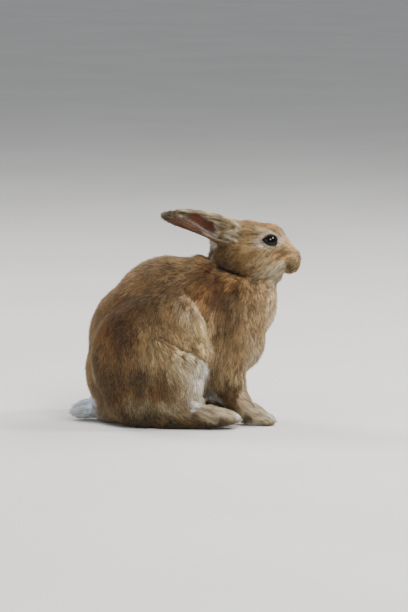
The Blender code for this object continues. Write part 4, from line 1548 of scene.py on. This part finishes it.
        # painted shade in the nostrils, the cleft and the mouth line
        slit = 0.90 * ease(0.15, 0.60, self.fields["slit"])
        colour = colour * (1.0 - slit[:, None]) + np.array(linear(46, 28, 22)) * slit[:, None]
        bare = np.maximum(1.0 - ease(1.08, 1.18, self.fields["opening"]), np.maximum(0.75 * nose, slit))
        self.fields["bare"] = np.maximum(bare, 0.80 * naked)
        self.fields["colour"] = colour


# ---------------------------------------------------------------- coat


class Patch(Enum):
    """The pieces that the coat is made in."""

    HEAD_LEFT = "coat_head_left"
    HEAD_RIGHT = "coat_head_right"
    EARS = "coat_ears"
    NECK = "coat_neck"
    CHEST = "coat_chest"
    BACK_LEFT = "coat_back_left"
    BACK_RIGHT = "coat_back_right"
    HAUNCH_LEFT = "coat_haunch_left"
    HAUNCH_RIGHT = "coat_haunch_right"
    FORELEGS = "coat_forelegs"
    HIND_FEET = "coat_hind_feet"


@dataclass
class Roots:
    """Places where tufts grow, with all that shapes them."""

    places: Array
    normals: Array
    lie: Array
    triangle: Array
    weights: Array
    length: Array
    width: Array
    depth: Array
    colour: Array
    label: Array
    tone: Array
    tick: Array
    pull: Array

    def __len__(self) -> int:
        """Number of tufts."""
        return len(self.places)

    def only(self, keep: Array) -> "Roots":
        """The roots that a mask or an index picks."""
        return Roots(**{name: value[keep] for name, value in self.__dict__.items()})


@dataclass
class Coat:
    """Tufts over the whole skin, in pieces small enough to handle."""

    skin: Skin
    seed: int = 11
    most_tufts: int = 33000
    lock_tufts: int = 13
    quick_share: float = 0.3
    patch_size: float = 0.003
    lock_reach: float = 0.004
    floor_gap: float = 0.00015

    def build(self, finishes: Finishes) -> List[bpy.types.Object]:
        """Grow every piece of the coat.

        Args:
            finishes: The rabbit's materials.

        Returns:
            The pieces' objects.
        """
        rng = np.random.default_rng(self.seed)
        roots = self._roots(rng)
        self._clump(roots, rng)
        pieces = []
        patches = self._patches(roots)
        for patch in Patch:
            chosen = np.flatnonzero(patches == patch.value)
            if len(chosen) > self.most_tufts:
                LOG.warning("%s: %d tufts cut to %d", patch.value, len(chosen), self.most_tufts)
                chosen = np.sort(rng.permutation(chosen)[: self.most_tufts])
            piece = self._tufts(patch.value, roots.only(chosen), rng)
            piece.data.materials.append(finishes.coat)
            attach(piece, "root")
            pieces.append(piece)
            LOG.info("%s: %d tufts", patch.value, len(chosen))
        return pieces

    def _roots(self, rng: np.random.Generator) -> Roots:
        """Scatter roots over the skin as densely as the coat grows there.

        Args:
            rng: Source of the random draws.

        Returns:
            The roots.
        """
        skin = self.skin
        corners = skin.places[skin.triangles]
        across = np.cross(corners[:, 1] - corners[:, 0], corners[:, 2] - corners[:, 0])
        area = np.linalg.norm(across, axis=1) / 2
        thick = skin.fields["density"] * (1.0 - skin.fields["bare"]) * (1.0 - 0.25 * skin.fields["inner_ear"])
        want = area * thick[skin.triangles].mean(1)
        want *= 1.0
        total = np.cumsum(want)
        count = int(total[-1])
        picks = (np.arange(count) + rng.random(count)) / count * total[-1]
        triangle = np.minimum(np.searchsorted(total, picks), len(want) - 1)
        split = np.sqrt(rng.random(count))
        other = rng.random(count)
        weights = np.stack([1.0 - split, split * (1.0 - other), split * other], axis=1)

        def spread(values: Array) -> Array:
            """Values of the vertices, carried to the roots."""
            rows = values[skin.triangles[triangle]]
            return (rows * (weights if rows.ndim == 2 else weights[:, :, None])).sum(1)

        places = spread(skin.places)
        normals = unit(spread(skin.normals))
        grow = 1.0
        lie = self._lie(places, normals, skin.labels[skin.triangles[triangle, 0]])
        return Roots(
            places=places,
            normals=normals,
            lie=lie,
            triangle=triangle,
            weights=weights,
            length=spread(skin.fields["length"]),
            width=spread(skin.fields["width"]) * grow,
            depth=spread(skin.fields["depth"]),
            colour=spread(skin.fields["colour"]),
            label=skin.labels[skin.triangles[triangle, 0]],
            tone=rng.random(count),
            tick=rng.random(count),
            pull=np.zeros((count, 3)),
        )

    @staticmethod
    def _lie(places: Array, normals: Array, labels: Array) -> Array:
        """The way the hair lies, along the ears and as the guides say elsewhere.

        Args:
            places: Where the tufts grow.
            normals: Unit normals of the skin there.
            labels: Node of flesh that each place belongs to.

        Returns:
            Unit vectors along the hair.
        """
        lie = combed(places, normals)
        for ear in EARS:
            own = labels == FLESH.index(ear)
            spine = EAR_SPINES[ear]
            share = spine.nearest(places[own])
            along = spine.at(np.minimum(share + 0.05, 1.0)) - spine.at(np.minimum(share, 0.95) - 0.02)
            lie[own] = flatten(unit(along), normals[own])
        return lie

    def _clump(self, roots: Roots, rng: np.random.Generator) -> None:
        """Draw neighbouring tufts into locks that lean and shade alike.

        Args:
            roots: Where the tufts grow, changed in place.
            rng: Source of the random draws.
        """
        streak = sum(
            lattice_noise(roots.places + roots.lie * (0.0027 * step), 0.0017, 32) for step in range(-2, 3)
        )
        streak = np.clip((streak / 5.0 - 0.5) * 2.4 + 0.5, 0.0, 1.0)
        swirl = (lattice_noise(roots.places, 0.014, 21) - 0.5) * 0.6
        x, _, z = roots.places.T
        cheek = ease(0.056, 0.070, x) * ease(0.112, 0.100, x) * ease(0.214, 0.204, z)
        cheek *= ease(0.172, 0.180, z)
        ruffle = (lattice_noise(roots.places, 0.005, 22) - 0.5) * (0.5 + 1.1 * cheek)
        swirl += ruffle + rng.normal(0.0, 0.10, len(roots))
        across = np.cross(roots.normals, roots.lie)
        roots.lie = unit(roots.lie * np.cos(swirl)[:, None] + across * np.sin(swirl)[:, None])
        centres = np.sort(rng.permutation(len(roots))[: len(roots) // self.lock_tufts])
        tree = tree_of(roots.places[centres])
        lock = np.array([tree.find(place)[1] for place in roots.places.tolist()])
        pull = roots.places[centres[lock]] - roots.places
        pull -= roots.normals * (pull * roots.normals).sum(1, keepdims=True)
        reach = np.linalg.norm(pull, axis=1)
        roots.pull = pull * np.minimum(1.0, self.lock_reach / np.maximum(reach, 1e-6))[:, None]
        roots.length = roots.length * rng.uniform(0.88, 1.14, len(centres))[lock]
        roots.depth = roots.depth * rng.uniform(0.90, 1.08, len(centres))[lock]
        blotch = lattice_noise(roots.places * (1.0, 1.0, 0.5), 0.0070, 31)
        lock_tone = rng.random(len(centres))[lock]
        own = np.interp(roots.width, (0.0005, 0.0011), (0.12, 0.28))
        tone = own * roots.tone + 0.12 * lock_tone + 0.08 * blotch + (0.80 - own) * streak
        pale = ease(0.22, 0.60, roots.colour.mean(1))
        roots.tone = np.clip((tone - 0.5) * (2.2 - 0.9 * pale) + 0.5, 0.0, 1.0)

    @staticmethod
    def _patches(roots: Roots) -> Array:
        """Name of the piece that each root belongs to.

        Args:
            roots: Where the tufts grow.

        Returns:
            One name for each root.
        """
        x, y, _ = roots.places.T
        part = np.array([part_of(name) for name in FLESH])[roots.label]
        left = y > 0
        back = np.where(left, Patch.BACK_LEFT.value, Patch.BACK_RIGHT.value)
        where = np.where(x > 0.045, Patch.CHEST.value, back)
        haunch = np.where(left, Patch.HAUNCH_LEFT.value, Patch.HAUNCH_RIGHT.value)
        where = np.where((part == "hind_leg") | (part == "tail") | (x < -0.075), haunch, where)
        where = np.where(np.isin(part, ("forepaw", "foreleg")), Patch.FORELEGS.value, where)
        where = np.where(part == "hind_foot", Patch.HIND_FEET.value, where)
        where = np.where(part == "neck", Patch.NECK.value, where)
        where = np.where(part == "ear", Patch.EARS.value, where)
        head = np.where(left, Patch.HEAD_LEFT.value, Patch.HEAD_RIGHT.value)
        return np.where(part == "head", head, where)

    def _tufts(self, name: str, roots: Roots, rng: np.random.Generator) -> bpy.types.Object:
        """Build the tufts of one piece as closed spindles.

        Args:
            name: Name of the piece.
            roots: Where the tufts grow.
            rng: Source of the random draws.

        Returns:
            The piece's object.
        """
        count = len(roots)
        normal, lie = roots.normals, roots.lie
        across = np.cross(normal, lie)
        length = roots.length * rng.uniform(0.75, 1.20, count)
        width = roots.width * rng.uniform(0.60, 1.35, count)
        high = roots.depth * rng.uniform(0.70, 1.12, count) + 0.0002
        reach = np.sqrt(np.maximum(length**2 - high**2, (0.5 * length) ** 2))
        sway = rng.normal(0.0, 0.10, count) * length
        root = roots.places - normal * 0.0005
        middle = roots.places + lie * (0.40 * reach)[:, None] + normal * (0.62 * high)[:, None]
        middle = middle + roots.pull * 0.22
        tip = roots.places + lie * reach[:, None] + normal * high[:, None] + across * sway[:, None]
        tip += roots.pull * rng.uniform(0.18, 0.52, count)[:, None]
        spin = rng.uniform(0.0, 2.0 * math.pi, count)
        ring = []
        for corner in range(3):
            angle = 2.0 * math.pi * corner / 3.0 + 0.35 * np.sin(spin)
            ring.append(
                middle
                + across * (np.sin(angle) * width * 0.56)[:, None]
                + normal * (np.cos(angle) * width * 0.26)[:, None]
            )
        places = np.stack([root, *ring, tip], axis=1)
        places[:, :, 2] = np.maximum(places[:, :, 2], self.floor_gap)
        pattern = np.array([(0, 1, 2), (0, 2, 3), (0, 3, 1), (4, 2, 1), (4, 3, 2), (4, 1, 3)])
        faces = (np.arange(count)[:, None, None] * 5 + pattern[None]).reshape(-1, 3)
        mesh = mesh_of(name, places.reshape(-1, 3), faces)
        self._store(mesh, roots, places)
        self._unwrap(mesh, roots, pattern)
        return new_object(name, mesh)

    @staticmethod
    def _store(mesh: bpy.types.Mesh, roots: Roots, places: Array) -> None:
        """Keep colour and shade attributes, and soften the tufts' shading.

        Args:
            mesh: The piece's mesh.
            roots: Where the tufts grow.
            places: Vertices of each tuft.
        """
        count = len(roots)
        add_colour(mesh, "coat_colour", np.repeat(roots.colour, 5, axis=0))
        add_value(mesh, "along", np.tile((0.0, 0.42, 0.42, 0.42, 1.0), count))
        add_value(mesh, "tone", np.repeat(roots.tone, 5))
        add_value(mesh, "tick", np.repeat(np.where(roots.tick > 0.72, 0.75, 0.0), 5))
        middle = places[:, 1:4].mean(1)
        soft = np.empty_like(places)
        for corner in range(3):
            outward = unit(places[:, 1 + corner] - middle)
            soft[:, 1 + corner] = unit(roots.normals * 0.85 + outward * 0.45)
        soft[:, 0] = roots.normals
        soft[:, 4] = unit(roots.normals + roots.lie * 0.35)
        mesh.normals_split_custom_set_from_vertices(soft.reshape(-1, 3).tolist())

    def _unwrap(self, mesh: bpy.types.Mesh, roots: Roots, pattern: Array) -> None:
        """Give each tuft a small patch at its root's place on the unwrapped skin.

        Args:
            mesh: The piece's mesh.
            roots: Where the tufts grow.
            pattern: Corners of one tuft's faces.
        """
        layer = mesh.uv_layers.new(name="OFBake")
        used, back = np.unique(roots.triangle, return_inverse=True)
        triangles = self.skin.triangles[used]
        corners, compact = np.unique(triangles.ravel(), return_inverse=True)
        shape = mesh_of("unwrap", self.skin.places[corners], compact.reshape(-1, 3))
        flat = new_object("unwrap", shape)
        bpy.ops.object.select_all(action="DESELECT")
        flat.select_set(True)
        bpy.context.view_layer.objects.active = flat
        bpy.ops.object.mode_set(mode="EDIT")
        bpy.ops.mesh.select_all(action="SELECT")
        bpy.ops.uv.smart_project(angle_limit=math.radians(60.0), island_margin=0.002)
        bpy.ops.object.mode_set(mode="OBJECT")
        places = np.empty(len(shape.loops) * 2, dtype=np.float32)
        shape.uv_layers.active.data.foreach_get("uv", places)
        bpy.data.objects.remove(flat)
        corners_uv = places.reshape(-1, 3, 2)[back]
        centre = (corners_uv * roots.weights[:, :, None]).sum(1)
        half = self.patch_size / 2
        wide = half * 0.7
        offsets = np.array([(0.0, -half), (-wide, 0.0), (0.0, 0.1 * half), (wide, 0.0), (0.0, half)])
        spread = np.clip(centre[:, None, :] + offsets[None], 0.0, 1.0)
        layer.data.foreach_set("uv", spread[:, pattern.ravel()].astype(np.float32).ravel())


# ---------------------------------------------------------------- details


@dataclass
class Eye:
    """A globe with a bulging cornea."""

    side: str
    bulge: float = 0.0006
    pupil_reach: float = 0.0072

    def build(self, finishes: Finishes) -> bpy.types.Object:
        """Model the globe and let it stand for its solid.

        Args:
            finishes: The rabbit's materials.

        Returns:
            The eye's object.
        """
        place = EYES[self.side]
        bm = bmesh.new()
        turn = Vector(place.gaze).to_track_quat("Z", "Y").to_matrix().to_4x4()
        bmesh.ops.create_uvsphere(bm, u_segments=64, v_segments=40, radius=place.radius - 0.0001)
        for vert in bm.verts:
            away = math.hypot(vert.co.x, vert.co.y)
            if vert.co.z > 0 and away < self.pupil_reach:
                vert.co.z += self.bulge * (1.0 - (away / self.pupil_reach) ** 2) ** 2
        bm.transform(Matrix.Translation(place.centre) @ turn)
        mesh = settled(bm, f"eyeball_{self.side}")
        shade_smooth(mesh)
        away = places_of(mesh) - place.centre
        across = np.linalg.norm(away - np.outer(away @ place.gaze, place.gaze), axis=1)
        add_value(mesh, "away", np.where(away @ place.gaze > 0, across / place.radius, 1.0))
        made = new_object(f"eyeball_{self.side}", mesh)
        mesh.materials.append(finishes.eye)
        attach(made, "root")
        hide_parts(f"eye_{self.side}")
        LOG.info("%s: %d faces", made.name, len(mesh.polygons))
        return made


@dataclass
class Claws:
    """The claws of one foot, curved and tapering."""

    row: str
    side: str
    rings: int = 9
    sides: int = 12
    root_depth: float = 0.0015
    root_radius: float = 0.00105
    tip_radius: float = 0.00012
    tip_lift: float = 0.0006
    arch: float = 0.0008
    narrowness: float = 0.8

    def build(self, finishes: Finishes) -> bpy.types.Object:
        """Sweep each claw along a short arc where its solid is.

        Args:
            finishes: The rabbit's materials.

        Returns:
            The claws' object.
        """
        names = [f"claw_{self.row}_{self.side}_{index}" for index in range(1, 5)]
        bm = bmesh.new()
        along: List[float] = []
        for name in names:
            low, high = (Vector(corner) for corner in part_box(name))
            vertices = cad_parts[name].data.vertices
            root = [vert.co for vert in vertices if vert.co.x < low.x + self.root_depth]
            rear = sum(root, Vector())
            rear /= max(1, len(root))
            front = Vector((high.x, (low.y + high.y) - rear.y, low.z + self.tip_lift))
            previous: List[bmesh.types.BMVert] = []
            for ring in range(self.rings):
                share = ring / (self.rings - 1)
                centre = rear.lerp(front, share) + Vector((0.0, 0.0, self.arch * math.sin(math.pi * share)))
                radius = self.root_radius * (1.0 - share) ** 0.55 + self.tip_radius
                loop = []
                for corner in range(self.sides):
                    angle = 2.0 * math.pi * corner / self.sides
                    out = (0.0, radius * self.narrowness * math.cos(angle), radius * math.sin(angle))
                    loop.append(bm.verts.new(centre + Vector(out)))
                    along.append(share)
                for corner in range(self.sides):
                    if previous:
                        after = (corner + 1) % self.sides
                        bm.faces.new((previous[corner], previous[after], loop[after], loop[corner]))
                if ring in (0, self.rings - 1):
                    bm.faces.new(loop if ring else loop[::-1])
                previous = loop
        bmesh.ops.recalc_face_normals(bm, faces=bm.faces)
        mesh = settled(bm, f"claws_{self.row}_{self.side}")
        shade_smooth(mesh)
        add_value(mesh, "along", np.array(along))
        made = new_object(mesh.name, mesh)
        mesh.materials.append(finishes.claw)
        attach(made, "root")
        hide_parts(*names)
        return made


@dataclass
class Whiskers:
    """Long stiff hairs on the lips and a few over the eyes."""

    seed: int = 5
    rings: int = 9
    root_radius: float = 0.00011
    corners: Point = (0.0, 2.094, 4.189)

    def build(self, skin: Skin, finishes: Finishes) -> bpy.types.Object:
        """Sweep thin tapering hairs out and back from the muzzle.

        Args:
            skin: The skin that they grow from.
            finishes: The rabbit's materials.

        Returns:
            The whiskers' object.
        """
        rng = np.random.default_rng(self.seed)
        tree = tree_of(skin.places)
        places, faces, along = [], [], []
        for root, way, length in self._plan(rng):
            near, _, _ = tree.find(root)
            line = self._line(np.array(near), unit(way), length, rng)
            self._sweep(line, places, faces, along)
        mesh = mesh_of("whiskers", np.concatenate(places), np.concatenate(faces))
        add_value(mesh, "along", np.concatenate(along))
        made = new_object("whiskers", mesh)
        mesh.materials.append(finishes.whisker)
        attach(made, "root")
        return made

    @staticmethod
    def _plan(rng: np.random.Generator) -> List[Tuple[Array, Array, float]]:
        """Root, way and length of each hair.

        Args:
            rng: Source of the random draws.

        Returns:
            One row for each hair.
        """
        plan = []
        for sign in SIDES.values():
            for row in range(4):
                for place in range(4):
                    behind, below = -0.004 - 0.0028 * place, -0.002 - 0.0028 * row
                    root = NOSE_TIP + np.array((behind, sign * (0.0085 + 0.0012 * place), below))
                    way = np.array((-0.35 - 0.10 * place, sign * (0.85 - 0.05 * row), 0.12 - 0.16 * row))
                    way = way + rng.normal(0.0, 0.06, 3)
                    plan.append((root, way, 0.018 + 0.0075 * place + rng.uniform(-0.002, 0.002)))
            centre = EYES["left" if sign > 0 else "right"].centre
            for brow in range(3):
                root = centre + np.array((0.004 - 0.005 * brow, sign * 0.004, 0.0115))
                plan.append((root, np.array((-0.5, sign * 0.5, 0.55)) + rng.normal(0.0, 0.08, 3), 0.016))
        return plan

    def _line(self, root: Array, way: Array, length: float, rng: np.random.Generator) -> Array:
        """Points on one drooping hair.

        Args:
            root: Where the hair starts.
            way: Unit vector along it.
            length: Its length.
            rng: Source of the random draws.

        Returns:
            Points, one a row.
        """
        share = np.linspace(0.0, 1.0, self.rings)[:, None]
        droop = np.array((-0.16, 0.0, -0.14)) + rng.normal(0.0, 0.03, 3)
        return root + way * length * share + droop * length * share**2

    def _sweep(self, line: Array, places: list, faces: list, along: list) -> None:
        """Add a three-sided tapering tube along the points.

        Args:
            line: The hair's points.
            places: Vertices so far, added to.
            faces: Faces so far, added to.
            along: Shares of the length so far, added to.
        """
        offset = sum(len(block) for block in places)
        ways = unit(np.gradient(line, axis=0))
        side = unit(np.cross(ways, (0.0, 0.0, 1.0)))
        top = np.cross(ways, side)
        taper = self.root_radius * (1.0 - 0.85 * np.linspace(0.0, 1.0, len(line)))[:, None]
        rings = [line + (side * math.cos(a) + top * math.sin(a)) * taper for a in self.corners]
        places.append(np.stack(rings, axis=1).reshape(-1, 3))
        along.append(np.repeat(np.linspace(0.0, 1.0, len(line)), 3))
        made = []
        for ring in range(len(line) - 1):
            for corner in range(3):
                a, b = ring * 3 + corner, ring * 3 + (corner + 1) % 3
                made += [(a, b, b + 3), (a, b + 3, a + 3)]
        last = (len(line) - 1) * 3
        made += [(0, 2, 1), (last, last + 1, last + 2)]
        faces.append(np.array(made) + offset)


# ---------------------------------------------------------------- stage


@dataclass(frozen=True)
class Studio:
    """Floor, light and the camera."""

    azimuth: float = 3.0
    elevation: float = 8.0
    distance: float = 4.0
    frame_height: float = 0.7303
    shift_right: float = 0.0204
    shift_up: float = 0.1372
    sensor: float = 36.0
    sky_strength: float = 0.44
    sky: Point = (0.86, 0.90, 0.96)
    # name, place, size and power of each lamp
    lamps: Tuple[Tuple[str, Point, float, float], ...] = (
        ("key", (0.95, -1.50, 1.95), 0.9, 64.0),
        ("glint", (1.30, 0.05, 1.43), 0.32, 24.0),
        ("fill", (-1.9, -1.5, 1.1), 1.6, 14.0),
        ("back_left", (-1.5, 1.0, 1.9), 1.0, 46.0),
        ("back_right", (1.4, 1.2, 1.7), 1.0, 36.0),
    )

    def build(self, finishes: Finishes) -> None:
        """Set up the stage round the rabbit.

        Args:
            finishes: The rabbit's materials.
        """
        bm = bmesh.new()
        bmesh.ops.create_grid(bm, x_segments=8, y_segments=8, size=16.0)
        mesh = settled(bm, "floor")
        floor = new_object("floor", mesh)
        mesh.materials.append(finishes.floor)
        for name, place, size, power in self.lamps:
            self._light(name, place, size, power)
        world = bpy.data.worlds.new("studio")
        world.use_nodes = True
        background = world.node_tree.nodes["Background"]
        background.inputs["Color"].default_value = (*self.sky, 1.0)
        background.inputs["Strength"].default_value = self.sky_strength
        bpy.context.scene.world = world
        self._camera()

    @staticmethod
    def _light(name: str, place: Point, size: float, power: float) -> None:
        """Add a soft square light aimed at the rabbit.

        Args:
            name: Name of the lamp.
            place: Where it stands.
            size: Width of the square.
            power: Power in watts.
        """
        lamp = bpy.data.lights.new(name, "AREA")
        lamp.shape = "SQUARE"
        lamp.size = size
        lamp.energy = power
        made = bpy.data.objects.new(name, lamp)
        bpy.context.scene.collection.objects.link(made)
        made.location = place
        way = Vector((0.0, 0.0, 0.12)) - Vector(place)
        made.rotation_euler = way.to_track_quat("-Z", "Y").to_euler()

    def _camera(self) -> None:
        """Place the camera at the side, slightly above the rabbit."""
        turn, lift = math.radians(self.azimuth), math.radians(self.elevation)
        right = Vector((math.cos(turn), math.sin(turn), 0.0))
        back = Vector((math.sin(turn) * math.cos(lift), -math.cos(turn) * math.cos(lift), math.sin(lift)))
        up = back.cross(right)
        target = right * self.shift_right + up * self.shift_up
        data = bpy.data.cameras.new("camera")
        data.sensor_width = self.sensor
        data.lens = self.sensor * self.distance / self.frame_height
        camera = bpy.data.objects.new("camera", data)
        bpy.context.scene.collection.objects.link(camera)
        camera.location = target + back * self.distance
        camera.rotation_euler = (-back).to_track_quat("-Z", "Y").to_euler()
        bpy.context.scene.camera = camera


def main() -> None:
    """Dress the rabbit, piece by piece."""
    logging.basicConfig(level=logging.INFO, format="%(message)s")
    finishes = Finishes.make()
    skin = Skin()
    skin.build(finishes)
    Coat(skin).build(finishes)
    for side in SIDES:
        Eye(side).build(finishes)
        for row in ("fore", "hind"):
            Claws(row, side).build(finishes)
    Whiskers().build(skin, finishes)
    Studio().build(finishes)


if __name__ == "__main__":
    main()
